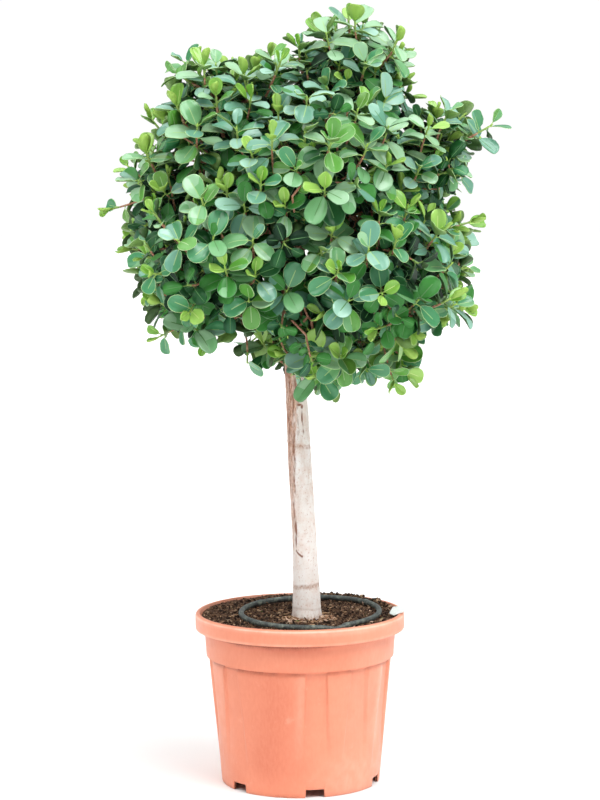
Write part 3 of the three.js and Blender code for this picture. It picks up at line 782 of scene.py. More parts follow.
def build_ring():
    n = 240
    a = np.arange(n) / n * 2 * math.pi
    wob = 1 + 0.012 * np.sin(2 * a + 0.7) + 0.01 * np.sin(3 * a)
    cx = RING[0] + RING[2] * wob * np.cos(a)
    cy = RING[1] + RING[3] * wob * np.sin(a)
    cz = soil_z(cx, cy) + 5.0 + 1.1
    # It sinks a little into the compost at the right of the front
    deg = np.degrees(a)
    cz -= 5.2 * np.exp(-((deg - 291) / 9.0) ** 2)
    c = np.stack([cx, cy, cz], 1)
    t = unit(np.roll(c, -1, 0) - np.roll(c, 1, 0))
    out = unit(np.stack([np.cos(a), np.sin(a), np.zeros(n)], 1))
    out = unit(out - t * np.einsum("ij,ij->i", out, t)[:, None])
    up = np.cross(t, out)
    sides = 20
    th = np.arange(sides) / sides * 2 * math.pi
    r = np.full(n, 4.9)
    # Push-on joints, a little thicker than the hose
    for centre, half in ((139.0, 3.2), (36.0, 3.0), (301.0, 3.0)):
        o = np.abs((deg - centre + 540) % 360 - 180)
        r += 0.75 * (1 - smooth(half - 0.5, half + 0.5, o))
    r = r + 0.12 * gradient_noise(np.stack([cx, cy, cz], 1) / 18.0, 9)
    ring = np.cos(th)[None, :, None] * out[:, None] + np.sin(th)[None, :, None] * up[:, None]
    v = c[:, None] + ring * r[:, None, None]
    faces = grid_faces(n, sides, True)
    k = np.arange(sides)
    close = np.stack([(n - 1) * sides + k, (n - 1) * sides + (k + 1) % sides, (k + 1) % sides, k], 1)
    m = principled("hose", srgb(66, 74, 74), rough=0.5, spec=0.5)
    nd = Nodes(m)
    at = nd.coords()
    dust = nd.noise(at, 95.0, 6.0, 0.75)
    tone = nd.ramp(dust, [(0.34, srgb(38, 44, 42)), (0.50, srgb(72, 80, 78)), (0.60, srgb(112, 120, 112)), (0.72, srgb(176, 184, 166))])
    nd.link(tone, nd.bsdf.inputs["Base Color"])
    nd.link(nd.ramp(dust, [(0.35, GREY(0.34)), (0.7, GREY(0.7))]), nd.bsdf.inputs["Roughness"])
    nd.bump(nd.noise(at, 300.0, 4.0), 0.3, 0.0006)
    ob = mesh_object("drip_hose", v.reshape(-1, 3) * MM, [(faces, 0), (close, 0)], [m])
    import bmesh
    bm = bmesh.new()
    bm.from_mesh(ob.data)
    bmesh.ops.recalc_face_normals(bm, faces=bm.faces)
    bm.to_mesh(ob.data)
    bm.free()
    return ob


def build_label():
    at = np.array([177.5, -27.6, 312.9])
    back, roll = math.radians(20), math.radians(17)
    outline = np.array([[-0.53, 0.07], [-0.31, -0.38], [0.35, -0.31], [0.47, 0.14], [0.09, 0.52], [-0.23, 0.62]]) * np.array([32.0, 29.0])
    # Corners rounded, then a fan of rings so that the plate can bow
    ring = []
    m = len(outline)
    for i in range(m):
        p, q, w = outline[i - 1], outline[i], outline[(i + 1) % m]
        a, b = q + unit(p - q) * 2.2, q + unit(w - q) * 2.2
        for s in (0.0, 0.33, 0.67, 1.0):
            ring.append((1 - s) ** 2 * a + 2 * s * (1 - s) * q + s * s * b)
    ring = np.array(ring)
    mid = ring.mean(0)
    rings = np.concatenate([mid + (ring - mid) * s for s in (1.0, 0.75, 0.5, 0.25)])
    flat = np.concatenate([rings, mid[None]])
    k, n = np.arange(len(ring)), len(ring)
    faces3, faces4 = [], []
    for q in range(3):
        faces4.append(np.stack([q * n + k, q * n + (k + 1) % n, (q + 1) * n + (k + 1) % n, (q + 1) * n + k], 1))
    faces3.append(np.stack([3 * n + k, 3 * n + (k + 1) % n, np.full(n, 4 * n)], 1))
    faces4, faces3 = np.concatenate(faces4), np.concatenate(faces3)
    bow = -0.0042 * (flat[:, 0] - 2) ** 2 * 0.9
    low = np.concatenate([flat, bow[:, None]], 1)
    high = low + np.array([0, 0, 0.9])
    v = np.concatenate([high, low])
    c = len(flat)
    side = np.stack([k, k + c, (k + 1) % n + c, (k + 1) % n], 1)
    # rotate back about X, then roll about Y
    cb, sb = math.cos(back), math.sin(back)
    v = np.stack([v[:, 0], v[:, 1] * cb - v[:, 2] * sb, v[:, 1] * sb + v[:, 2] * cb], 1)
    cr, sr = math.cos(-roll), math.sin(-roll)
    v = np.stack([v[:, 0] * cr + v[:, 2] * sr, v[:, 1], -v[:, 0] * sr + v[:, 2] * cr], 1)
    v = v + at
    mt = principled("label", srgb(240, 244, 240), rough=0.42, spec=0.4)
    nd = Nodes(mt)
    tone = nd.ramp(nd.noise(nd.coords(), 130.0, 5.0, 0.65), [(0.35, srgb(220, 228, 223)), (0.62, srgb(236, 241, 238)), (0.76, srgb(196, 202, 192))])
    nd.link(tone, nd.bsdf.inputs["Base Color"])
    nd.bump(nd.noise(nd.coords(), 500.0, 2.0), 0.1, 0.0004)
    ob = mesh_object("label_tag", v * MM, [(faces4, 0), (faces3, 0), (faces4[:, ::-1] + c, 0), (faces3[:, ::-1] + c, 0), (side, 0)], [mt], False)
    import bmesh
    bm = bmesh.new()
    bm.from_mesh(ob.data)
    bmesh.ops.recalc_face_normals(bm, faces=bm.faces)
    bm.to_mesh(ob.data)
    bm.free()
    return ob


ring = build_ring()
label = build_label()
for ob, node, slot in ((ring, "drip_ring", "hose"), (label, "label", "label")):
    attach(ob, "root")
    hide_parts(node)

# ------------------------------------------------------------------ stem and boughs

# height, centre x, centre y, radius, in mm
STEM = np.array([
    [297.4, 12.6, -10, 26.8], [305, 12.5, -10, 24.9], [318, 12.4, -9.8, 23.6], [362, 11.9, -9, 22.4], [417, 8.4, -8, 21.7],
    [508, 3.4, -6, 21.6], [590, -1.0, -4, 20.9], [676, -4.6, -2, 19.6], [745, -8, -1, 18.6], [815, -11.5, 0, 18.0],
    [850, -13, 0, 18.8], [874, -14, 0, 16.5], [884, -14.3, 0, 9.5]])


def stem_at(z):
    return np.stack([np.interp(z, STEM[:, 0], STEM[:, k]) for k in (1, 2, 3)], -1)


def soft_interp(z, xs, ys, width):
    """Piecewise-linear values, smoothed over a width."""
    return np.mean([np.interp(z + s * width, xs, ys) for s in (-0.5, -0.25, 0, 0.25, 0.5)], 0)


def build_stem():
    rows, sides = 400, 84
    z = np.concatenate([np.linspace(297.2, 330, 40), np.linspace(331.5, 884, rows - 40)])
    a = np.arange(sides) / sides * 2 * math.pi  # bearing: 0 is the front, towards +X
    Z, A = np.meshgrid(z, a, indexing="ij")
    cx = soft_interp(z, STEM[:, 0], STEM[:, 1], 40)[:, None]
    cy = soft_interp(z, STEM[:, 0], STEM[:, 2], 40)[:, None]
    r = soft_interp(z, STEM[:, 0], STEM[:, 3], 14)[:, None] * np.ones_like(A)
    r[-1] = 8.5
    sx, sy = np.sin(A), -np.cos(A)
    p = np.stack([sx * 21, sy * 21, Z], -1).reshape(-1, 3)
    deg = (np.degrees(A) + 180) % 360 - 180
    # Slow swellings, then bark relief stretched along the stem
    slow = gradient_noise(p * np.array([1 / 40, 1 / 40, 1 / 95]), 61).reshape(A.shape)
    relief = fbm(p * np.array([1 / 7, 1 / 7, 1 / 26]), 62, 4, 0.55).reshape(A.shape)
    fine = fbm(p * np.array([1 / 1.8, 1 / 1.8, 1 / 3.4]), 70, 2).reshape(A.shape)
    flare = 1 - smooth(297, 322, Z)
    r = r * (1 + 0.022 * slow) + 0.26 * relief + 0.10 * fine
    r += flare * (1.6 * np.cos(3 * A + 0.4) + 1.2 * np.cos(2 * A - 0.8))
    # Ring scars
    scar = np.zeros_like(A)
    for z0, w in ((613.0, 4.6), (358.0, 4.8), (318.0, 2.8), (541.0, 1.8), (742.0, 3.0)):
        zz = z0 + 2.2 * np.sin(A * 1.0 + z0) + 1.1 * gradient_noise(np.stack([sx.ravel() * 2, sy.ravel() * 2, Z.ravel() / 200], 1), int(z0)).reshape(A.shape)
        g = np.exp(-((Z - zz) / w) ** 2)
        strength = 1.0 if w > 3.5 else 0.45
        scar = np.maximum(scar, g * strength)
        r += (0.55 * np.exp(-((Z - zz - w) / 2.0) ** 2) - 0.35 * g) * strength
    # Knot and the grooves that run down from it
    def patch(deg0, z0, wd, wz):
        d = (deg - deg0 + 180) % 360 - 180
        return np.exp(-(d / wd) ** 2 - ((Z - z0) / wz) ** 2)
    crack = np.zeros_like(A)
    r += 1.6 * patch(16, 688, 17, 6.0) - 1.5 * patch(20, 683, 9, 2.2)
    ragged = 0.55 + 0.45 * gradient_noise(np.stack([sx.ravel() * 6, sy.ravel() * 6, Z.ravel() / 5.5], 1), 71).reshape(A.shape)
    hook = np.maximum(patch(12, 686.5, 13, 2.3), patch(26, 683.0, 7, 4.2))
    crack = np.maximum(crack, 0.9 * hook)
    for d0, z0, wd, wz, much in ((26, 662, 5.0, 17, 0.9), (25, 638, 4.6, 7, 0.7), (2, 652, 4.5, 20, 0.6), (-5, 632, 4.0, 13, 0.5), (-24, 690, 5.5, 24, 0.8),
                                 (-27, 606, 5.5, 34, 0.9), (-33, 548, 5.0, 26, 0.85), (-58, 650, 6, 34, 0.8), (-38, 722, 6, 30, 0.85), (-46, 500, 5.5, 22, 0.8),
                                 (-66, 560, 6, 40, 0.7), (-2, 724, 6, 16, 0.7), (-62, 745, 7, 22, 0.8)):
        g = patch(d0 + 3 * np.sin(Z / 9), z0, wd, wz) * np.clip(ragged + 0.2, 0, 1)
        r -= 0.7 * g
        crack = np.maximum(crack, much * g)
    # Long crack on the left and the curved scar below it
    g = np.maximum(patch(-41 + 3 * np.sin(Z / 11), 463, 7.0, 14), 0.85 * patch(-46, 441, 5.0, 12))
    r -= 1.6 * g
    crack = np.maximum(crack, 1.0 * g)
    sweep = np.clip((deg + 46) / 30, 0, 1)
    g = np.exp(-((Z - (423 - 10.0 * sweep ** 0.7)) / 1.9) ** 2) * ((deg > -50) & (deg < -12))
    r -= 0.9 * g
    crack = np.maximum(crack, 0.95 * g)
    # The brown, rougher side, widest near the top, drawn out downwards on the left
    edge = np.interp(Z, [395, 430, 470, 520, 600, 680, 740, 884], [-80, -62, -46, -37, -25, 0, 34, 80])
    shred = fbm(p * np.array([1 / 3.2, 1 / 3.2, 1 / 19]), 64, 3).reshape(A.shape)
    streak = smooth(9, -9, deg - edge + 8 * relief + 13 * shred) * smooth(392, 440, Z) * (deg > -175)
    streak = np.maximum(streak, 0.55 * smooth(14, -10, deg + 74 + 12 * shred) * smooth(300, 340, Z) * (deg > -175))
    streak = np.maximum(streak, smooth(712, 800, Z + 16 * shred) * (0.75 + 0.25 * smooth(40, -30, deg)))
    streak *= 0.74 + 0.26 * smooth(540, 660, Z)
    dirt = 0.8 * smooth(311, 299, Z + 5 * shred + 3 * relief)
    r += streak * (0.45 * relief - 0.1)
    # Small warts and lenticels
    gq = np.random.default_rng(77)
    spots = np.zeros_like(A)
    for _ in range(150):
        d0, z0 = gq.uniform(-180, 180), gq.uniform(305, 860)
        w = gq.uniform(0.9, 2.2)
        g = patch(d0, z0, w * 2.6, w)
        spots = np.maximum(spots, g * gq.uniform(0.3, 1.0))
        r += 0.35 * g
    cx = cx + 2.5 * smooth(330, 470, Z)
    r = r * (1 + 0.09 * smooth(440, 310, Z))
    grid = np.stack([cx + r * sx, cy + r * sy, Z], -1)
    verts = np.concatenate([grid.reshape(-1, 3), [[cx[-1, 0], cy[-1, 0], 887.0]], [[cx[0, 0], cy[0, 0], 297.2]]])
    k = np.arange(sides)
    last = (rows - 1) * sides
    faces = [(grid_faces(rows, sides, True), 0),
             (np.stack([last + k, last + (k + 1) % sides, np.full(sides, rows * sides)], 1), 0),
             (np.stack([(k + 1) % sides, k, np.full(sides, rows * sides + 1)], 1), 0)]
    ob = mesh_object("stem_bark", verts * MM, faces, [bark_material()])
    # The lower stem is painted paler: painted light against the shade the crown casts
    for name, values in (("streak", streak), ("scar", scar), ("crack", crack), ("spots", spots), ("dirt", dirt), ("painted_light_low", smooth(590, 400, Z)), ("upper", smooth(700, 775, Z + 14 * shred))):
        attr = ob.data.attributes.new(name, "FLOAT", "POINT")
        attr.data.foreach_set("value", np.concatenate([values.ravel(), [values[-1, 0], values[0, 0]]]).astype(np.float32))
    return ob


def bark_material():
    m = principled("stem_bark", srgb(236, 228, 222), rough=0.82, spec=0.25)
    n = Nodes(m)
    long = n.coords((1, 1, 0.28))
    base = n.ramp(n.noise(long, 95.0, 5.0, 0.6), [(0.3, srgb(222, 206, 195)), (0.5, srgb(239, 231, 225)), (0.7, srgb(250, 246, 243))])
    # Painted light: the lower stem paler
    base = n.mix(n.times(n.attribute("painted_light_low"), n.ramp(n.noise(long, 70.0, 4.0, 0.6), [(0.3, GREY(0.4)), (0.6, GREY(0.9))])), base, srgb(244, 238, 233))
    mottle = n.ramp(n.noise(n.coords((1, 1, 0.75)), 60.0, 4.0, 0.6), [(0.46, GREY(0.0)), (0.66, GREY(0.34))])
    base = n.mix(mottle, base, srgb(226, 196, 180))
    speck = n.ramp(n.noise(n.coords((1, 1, 0.7)), 330.0, 3.0, 0.6), [(0.58, GREY(0.0)), (0.68, GREY(0.62))])
    base = n.mix(speck, base, srgb(200, 160, 138))
    brown = n.ramp(n.noise(n.coords((1, 1, 0.22)), 400.0, 5.0, 0.7), [(0.36, srgb(122, 76, 54)), (0.47, srgb(190, 144, 120)), (0.62, srgb(230, 198, 180))])
    grain = n.ramp(n.noise(n.coords((1, 1, 0.55)), 620.0, 3.0, 0.7), [(0.54, GREY(0.0)), (0.64, GREY(0.7))])
    brown = n.mix(grain, brown, srgb(150, 98, 72))
    brown = n.mix(n.times(n.attribute("upper"), n.ramp(n.noise(n.coords((1, 1, 0.3)), 300.0, 4.0, 0.65), [(0.38, GREY(0.85)), (0.6, GREY(0.15))])), brown, srgb(142, 96, 74))
    patchy = n.ramp(n.noise(n.coords((1, 1, 0.3)), 120.0, 5.0, 0.65), [(0.28, GREY(0.45)), (0.55, GREY(1.0))])
    base = n.mix(n.times(n.attribute("streak"), patchy), base, brown)
    blot = n.ramp(n.noise(n.coords(), 260.0, 4.0, 0.6), [(0.36, GREY(0.25)), (0.62, GREY(1.0))])
    base = n.mix(n.times(n.ramp(n.attribute("scar"), [(0.2, GREY(0)), (0.9, GREY(0.8))]), blot), base, srgb(178, 134, 108))
    base = n.mix(n.ramp(n.attribute("spots"), [(0.3, GREY(0)), (0.9, GREY(0.6))]), base, srgb(168, 124, 100))
    base = n.mix(n.times(n.attribute("dirt"), blot), base, srgb(168, 132, 106))
    base = n.mix(n.ramp(n.attribute("crack"), [(0.14, GREY(0)), (0.6, GREY(0.95))]), base, srgb(134, 84, 60))
    n.link(base, n.bsdf.inputs["Base Color"])
    n.bump(n.noise(long, 480.0, 4.0, 0.6), 0.35, 0.0007)
    return m


def twig_material():
    m = principled("twig_bark", srgb(132, 88, 68), rough=0.85, spec=0.25)
    n = Nodes(m)
    tone = n.ramp(n.noise(n.coords(), 260.0, 4.0, 0.6), [(0.3, srgb(128, 88, 70)), (0.5, srgb(182, 130, 104)), (0.72, srgb(220, 180, 154))])
    n.link(tone, n.bsdf.inputs["Base Color"])
    n.bump(n.noise(n.coords(), 700.0, 3.0), 0.35, 0.0006)
    return m


TWIG = twig_material()
stem = build_stem()
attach(stem, "root")
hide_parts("stem")

# The limb it leaves, share of that limb's length, where it heads, its bend, radius at foot and tip
BOUGHS = [
    ("bough_top", "stem", 0.985, (70, -14, 1180), (-26, 6, 24), 11.5, 6.5),
    ("bough_back_high", "stem", 0.97, (-30, 120, 1120), (-14, -12, 40), 10, 6),
    ("bough_upper_left", "stem", 0.965, (-112, -44, 1130), (10, -12, 28), 10, 6),
    ("bough_right", "stem", 0.955, (160, -34, 962), (0, -8, 34), 9.5, 5.5),
    ("bough_front_right", "stem", 0.94, (92, -146, 934), (14, 14, 22), 9, 5),
    ("bough_back_left", "stem", 0.945, (-126, 128, 962), (16, -14, 26), 9, 5.5),
    ("bough_low_left", "stem", 0.925, (-150, -34, 900), (8, -8, 22), 8.5, 5),
    ("bough_low_front", "stem", 0.9, (24, -104, 822), (8, 0, 16), 7.5, 4.5),
    ("bough_low_right", "stem", 0.91, (128, -2, 830), (-8, 10, 18), 7.5, 4.5),
    ("bough_low_back", "stem", 0.9, (-10, 106, 836), (-8, 0, 16), 7.5, 4.5),
    ("bough_upper_right", "bough_top", 0.5, (170, -24, 1086), (4, -4, 10), 7.5, 5),
    ("bough_front_high", "bough_top", 0.36, (20, -140, 1080), (6, 0, 12), 7.5, 5),
    ("bough_left", "bough_upper_left", 0.42, (-176, -36, 1030), (0, -6, 8), 7, 4.5),
    ("bough_front_left", "bough_upper_left", 0.28, (-106, -150, 976), (4, 0, 10), 7, 4.5),
    ("bough_back_right", "bough_back_high", 0.32, (124, 132, 990), (0, 0, 14), 7.5, 5),
]
LIMBS = {}


def along(points, share):
    seg = np.linalg.norm(np.diff(points, axis=0), axis=1)
    s = np.concatenate([[0], np.cumsum(seg)])
    return np.array([np.interp(share * s[-1], s, points[:, k]) for k in range(3)])


LIMBS["stem"] = np.stack([soft_interp(STEM[0, 0] + np.linspace(0, 1, 200) * (884 - STEM[0, 0]), STEM[:, 0], STEM[:, k], 1) for k in (1, 2)]
                         + [STEM[0, 0] + np.linspace(0, 1, 200) * (884 - STEM[0, 0])], 1)


def build_boughs():
    tubes = Tubes()
    g = np.random.default_rng(91)
    for name, parent, share, to, bend, foot, tip in BOUGHS:
        start = along(LIMBS[parent], share)
        end = np.array(to, float)
        mid = (start + end) / 2 + np.array(bend, float)
        t = np.linspace(0, 1, 26)[:, None]
        c = (1 - t) ** 2 * start + 2 * t * (1 - t) * mid + t * t * end
        wob = np.stack([gradient_noise(c / 38.0 + k * 9, 93 + k) for k in range(3)], 1) * 3.2 * np.sin(math.pi * t) ** 0.7
        c = c + wob
        LIMBS[name] = c
        s = t[:, 0]
        r = (foot + (tip - foot) * s) * (1 + 0.3 * (1 - smooth(0, 0.2, s))) + 0.5 * gradient_noise(c / 14.0, 99)
        tubes.add(c * MM, r * MM, 14)
    return tubes.build("bough_bark", [TWIG])


boughs = build_boughs()
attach(boughs, "root")
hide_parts(*[b[0] for b in BOUGHS])

# ------------------------------------------------------------------ crown: where its shoots end

MASSES = ["top", "upper_left", "upper_right", "front_high", "left", "right", "front_left", "front_right", "low_left",
          "low_front", "low_right", "back_high", "back_left", "back_right", "low_back"]
HOLLOW_AT, HOLLOW_R = np.array([0.0, 0.0, 985.0]), np.array([146.0, 142.0, 150.0])
CAMERA = np.array([2.7, -4200.0, 1091.5])

# Where sky shows through the crown: x and height at the stem's depth, and radius
GAPS = [(-176, 929, 8), (103, 1088, 8), (118, 1086, 7), (199, 849, 9), (110, 790, 8), (-196, 872, 8), (-79, 806, 16), (-104, 808, 13), (-60, 800, 12)]


def in_gap(p):
    """Whether points (n, 3) lie in a line of sight that stays open."""
    share = (0 - CAMERA[1]) / (p[:, 1] - CAMERA[1])
    x = CAMERA[0] + (p[:, 0] - CAMERA[0]) * share
    z = CAMERA[2] + (p[:, 2] - CAMERA[2]) * share
    out = np.zeros(len(p), bool)
    for gx, gz, gr in GAPS:
        out |= np.hypot(x - gx, z - gz) < gr
    return out


def mass_surface(name):
    """Corners of the triangles of one mass, in mm, and its tree of faces."""
    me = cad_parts["mass_" + name].data
    me.calc_loop_triangles()
    co = np.array([v.co for v in me.vertices]) * 1000.0
    tri = np.array([t.vertices[:] for t in me.loop_triangles])
    return co, tri, BVHTree.FromPolygons([Vector(c) for c in co], [list(t) for t in tri])


SURFACES = {m: mass_surface(m) for m in MASSES}


def inside(tree, p, centre):
    hit = tree.find_nearest(Vector(p))
    return (Vector(p) - hit[0]).dot(hit[1]) < 0


def outer_points(g, count):
    """Points on the outside of the masses, with their facing and mass."""
    pts, nrm, which = [], [], []
    areas = {}
    for k, m in enumerate(MASSES):
        co, tri, _ = SURFACES[m]
        a, b, c = co[tri[:, 0]], co[tri[:, 1]], co[tri[:, 2]]
        areas[m] = (a, b, c, np.linalg.norm(np.cross(b - a, c - a), axis=1) / 2)
    total = sum(v[3].sum() for v in areas.values())
    for k, m in enumerate(MASSES):
        a, b, c, area = areas[m]
        n = int(count * area.sum() / total)
        i = g.choice(len(area), n, p=area / area.sum())
        u, v = g.random(n), g.random(n)
        flip = u + v > 1
        u, v = np.where(flip, 1 - u, u), np.where(flip, 1 - v, v)
        p = a[i] + (b[i] - a[i]) * u[:, None] + (c[i] - a[i]) * v[:, None]
        face = unit(np.cross(b - a, c - a))[i]
        centre = SURFACES[m][0].mean(0)
        pts.append(p)
        nrm.append(unit(0.45 * face + 0.55 * unit(p - centre)))
        which.append(np.full(n, k))
    pts, nrm, which = np.concatenate(pts), np.concatenate(nrm), np.concatenate(which)
    hollow = (((pts - HOLLOW_AT) / HOLLOW_R) ** 2).sum(1) < 1.16 ** 2
    stem = (np.hypot(pts[:, 0] + 8, pts[:, 1]) < 44) & (pts[:, 2] < 890)
    keep = ~(hollow | stem)
    pts, nrm, which = pts[keep], nrm[keep], which[keep]
    free = np.ones(len(pts), bool)
    for i, (p, w) in enumerate(zip(pts, which)):
        for k, m in enumerate(MASSES):
            if k == w:
                continue
            hit = SURFACES[m][2].find_nearest(Vector(p), 11.0)
            if hit[0] is not None:
                free[i] = False
                break
    return pts[free], nrm[free], which[free]


def spread(points, g, spacing):
    """Indices of points kept so that no two are closer than spacing (an array, one per point)."""
    order = g.permutation(len(points))
    kept = np.empty((len(points), 3))
    kept_s = np.empty(len(points))
    chosen, n = [], 0
    for i in order:
        if n:
            d = np.linalg.norm(kept[:n] - points[i], axis=1)
            if (d < np.minimum(kept_s[:n], spacing[i])).any():
                continue
        kept[n], kept_s[n] = points[i], spacing[i]
        chosen.append(i)
        n += 1
    return np.array(chosen)


class Shoot:
    def __init__(self, tip, heading, long, mass, kind, order):
        self.tip, self.heading, self.long, self.mass, self.kind, self.order = tip, heading, long, mass, kind, order


# The largest rosettes of the front: x and height at the stem's depth, heading, size, whether it is growing
FEATURES = [
    (-177, 1183, (0.10, -0.35, 0.93), 1.16, False), (-125, 1070, (0.00, -0.55, 0.83), 1.0, True), (-65, 1082, (0.10, -0.6, 0.80), 1.0, True),
    (49, 1070, (0.02, -0.85, 0.50), 1.18, True), (62, 994, (0.05, -0.85, 0.45), 1.15, True), (-22, 1043, (0.0, -0.7, 0.70), 1.0, True),
    (23, 776, (-0.05, -0.85, 0.48), 1.30, True), (-20, 889, (-0.1, -0.90, 0.30), 1.15, False), (42, 962, (-0.1, -0.8, 0.55), 0.95, False),
    (73, 926, (0.1, -0.85, 0.40), 1.0, True), (-130, 931, (-0.1, -0.75, 0.60), 1.05, True), (108, 1209, (0.15, -0.55, 0.80), 1.05, False),
    (186, 1069, (0.2, -0.6, 0.75), 1.05, True), (252, 993, (0.45, -0.55, 0.70), 1.1, True), (-190, 827, (-0.3, -0.7, 0.45), 1.1, False),
    (18, 1232, (0.0, -0.45, 0.88), 1.0, False), (-165, 1288, (-0.1, -0.3, 0.94), 1.1, True), (104, 1368, (0.0, -0.15, 0.98), 1.1, True),
    (178, 1330, (0.35, -0.2, 0.9), 1.0, True), (54, 1342, (-0.15, -0.2, 0.95), 1.05, False), (-36, 1294, (-0.1, -0.3, 0.93), 1.0, False),
    (-95, 1043, (-0.1, -0.8, 0.55), 1.1, False), (-170, 1052, (-0.15, -0.65, 0.7), 0.95, False), (-214, 980, (-0.4, -0.6, 0.65), 1.0, False),
    (-80, 980, (0.0, -0.85, 0.5), 1.05, False), (127, 962, (0.1, -0.75, 0.62), 1.0, False), (216, 872, (0.35, -0.7, 0.5), 1.1, False),
    (91, 872, (0.1, -0.9, 0.25), 1.1, False), (-88, 872, (-0.1, -0.9, 0.3), 1.1, False), (162, 1178, (0.2, -0.5, 0.82), 1.0, False),
    (234, 1178, (0.35, -0.4, 0.84), 1.0, True), (-107, 1178, (0.0, -0.4, 0.9), 1.0, False), (-44, 1160, (0.05, -0.5, 0.85), 1.0, True)]


# How far the crown reaches as seen from the front, every 5 degrees from its right, anticlockwise, round REACH_AT
REACH_AT = np.array([4.0, 1043.0])
REACH = [262, 298, 306, 313, 345, 362, 360, 316, 310, 306, 312, 350, 370, 363, 365, 361, 340, 328, 315, 311, 303, 293, 288, 297,
         316, 346, 358, 350, 315, 310, 307, 317, 318, 326, 328, 317, 300, 308, 328, 323, 331, 329, 336, 354, 326, 318, 312, 326,
         291, 275, 305, 305, 283, 302, 350, 348, 352, 326, 339, 372, 384, 372, 348, 312, 346, 384, 353, 334, 325, 313, 319, 322]


def reach(x, z):
    return np.interp(np.degrees(np.arctan2(z, x)) % 360, np.arange(73) * 5.0, REACH + REACH[:1])


def beyond(p, more):
    """Whether points (n, 3) lie outside the crown's outline as seen from the front."""
    share = (0 - CAMERA[1]) / (p[:, 1] - CAMERA[1])
    x = CAMERA[0] + (p[:, 0] - CAMERA[0]) * share - REACH_AT[0]
    z = CAMERA[2] + (p[:, 2] - CAMERA[2]) * share - REACH_AT[1]
    return np.hypot(x, z) > reach(x, z) + more


def in_crown(p, margin=5.0):
    """Whether a point lies in one of the masses, or in the hollow between them."""
    if (((p - HOLLOW_AT) / HOLLOW_R) ** 2).sum() < 1.0:
        return True
    for m in MASSES:
        hit = SURFACES[m][2].find_nearest(Vector(p), 400.0)
        if hit[0] is not None and (Vector(p) - hit[0]).dot(hit[1]) < margin:
            return True
    return False


def fit_outline(tip, facing, leafy, g):
    """Moves a tip in or out so that its leaves end at the crown's outline, as seen from the front."""
    share = (0 - CAMERA[1]) / (tip[1] - CAMERA[1])
    x = CAMERA[0] + (tip[0] - CAMERA[0]) * share - REACH_AT[0]
    z = CAMERA[2] + (tip[2] - CAMERA[2]) * share - REACH_AT[1]
    r = math.hypot(x, z)
    limit = float(reach(x, z)) - leafy
    k = 1.0
    if r > limit:
        k = limit / r
    elif facing > 0.55 and r > limit - 60:
        k = min(limit + g.uniform(-12, 2), r + 40) / r
    tip = tip.copy()
    tip[0] += x * (k - 1) / share
    tip[2] += z * (k - 1) / share
    return tip


def feature_shoots():
    """The rosettes of FEATURES, each on the front of the mass that its line of sight meets first."""
    out = []
    for x, z, heading, size, growing in FEATURES:
        ray = unit(np.array([x, 0.0, z]) - CAMERA)
        best = None
        for k, m in enumerate(MASSES):
            hit = SURFACES[m][2].ray_cast(Vector(CAMERA), Vector(ray))
            if hit[0] is not None and (best is None or hit[3] < best[0]):
                best = (hit[3], k, np.array(hit[0]))
        if best is None:
            p = CAMERA + ray * (-110 - CAMERA[1]) / ray[1]
            k = int(np.argmin([(SURFACES[m][2].find_nearest(Vector(p))[0] - Vector(p)).length for m in MASSES]))
            best = (0, k, p)
        s = Shoot(best[2] + ray * 10.0, unit(np.array(heading)), 115.0, best[1], "feature", 0)
        s.vigour, s.growing = size, growing
        out.append(s)
    return out


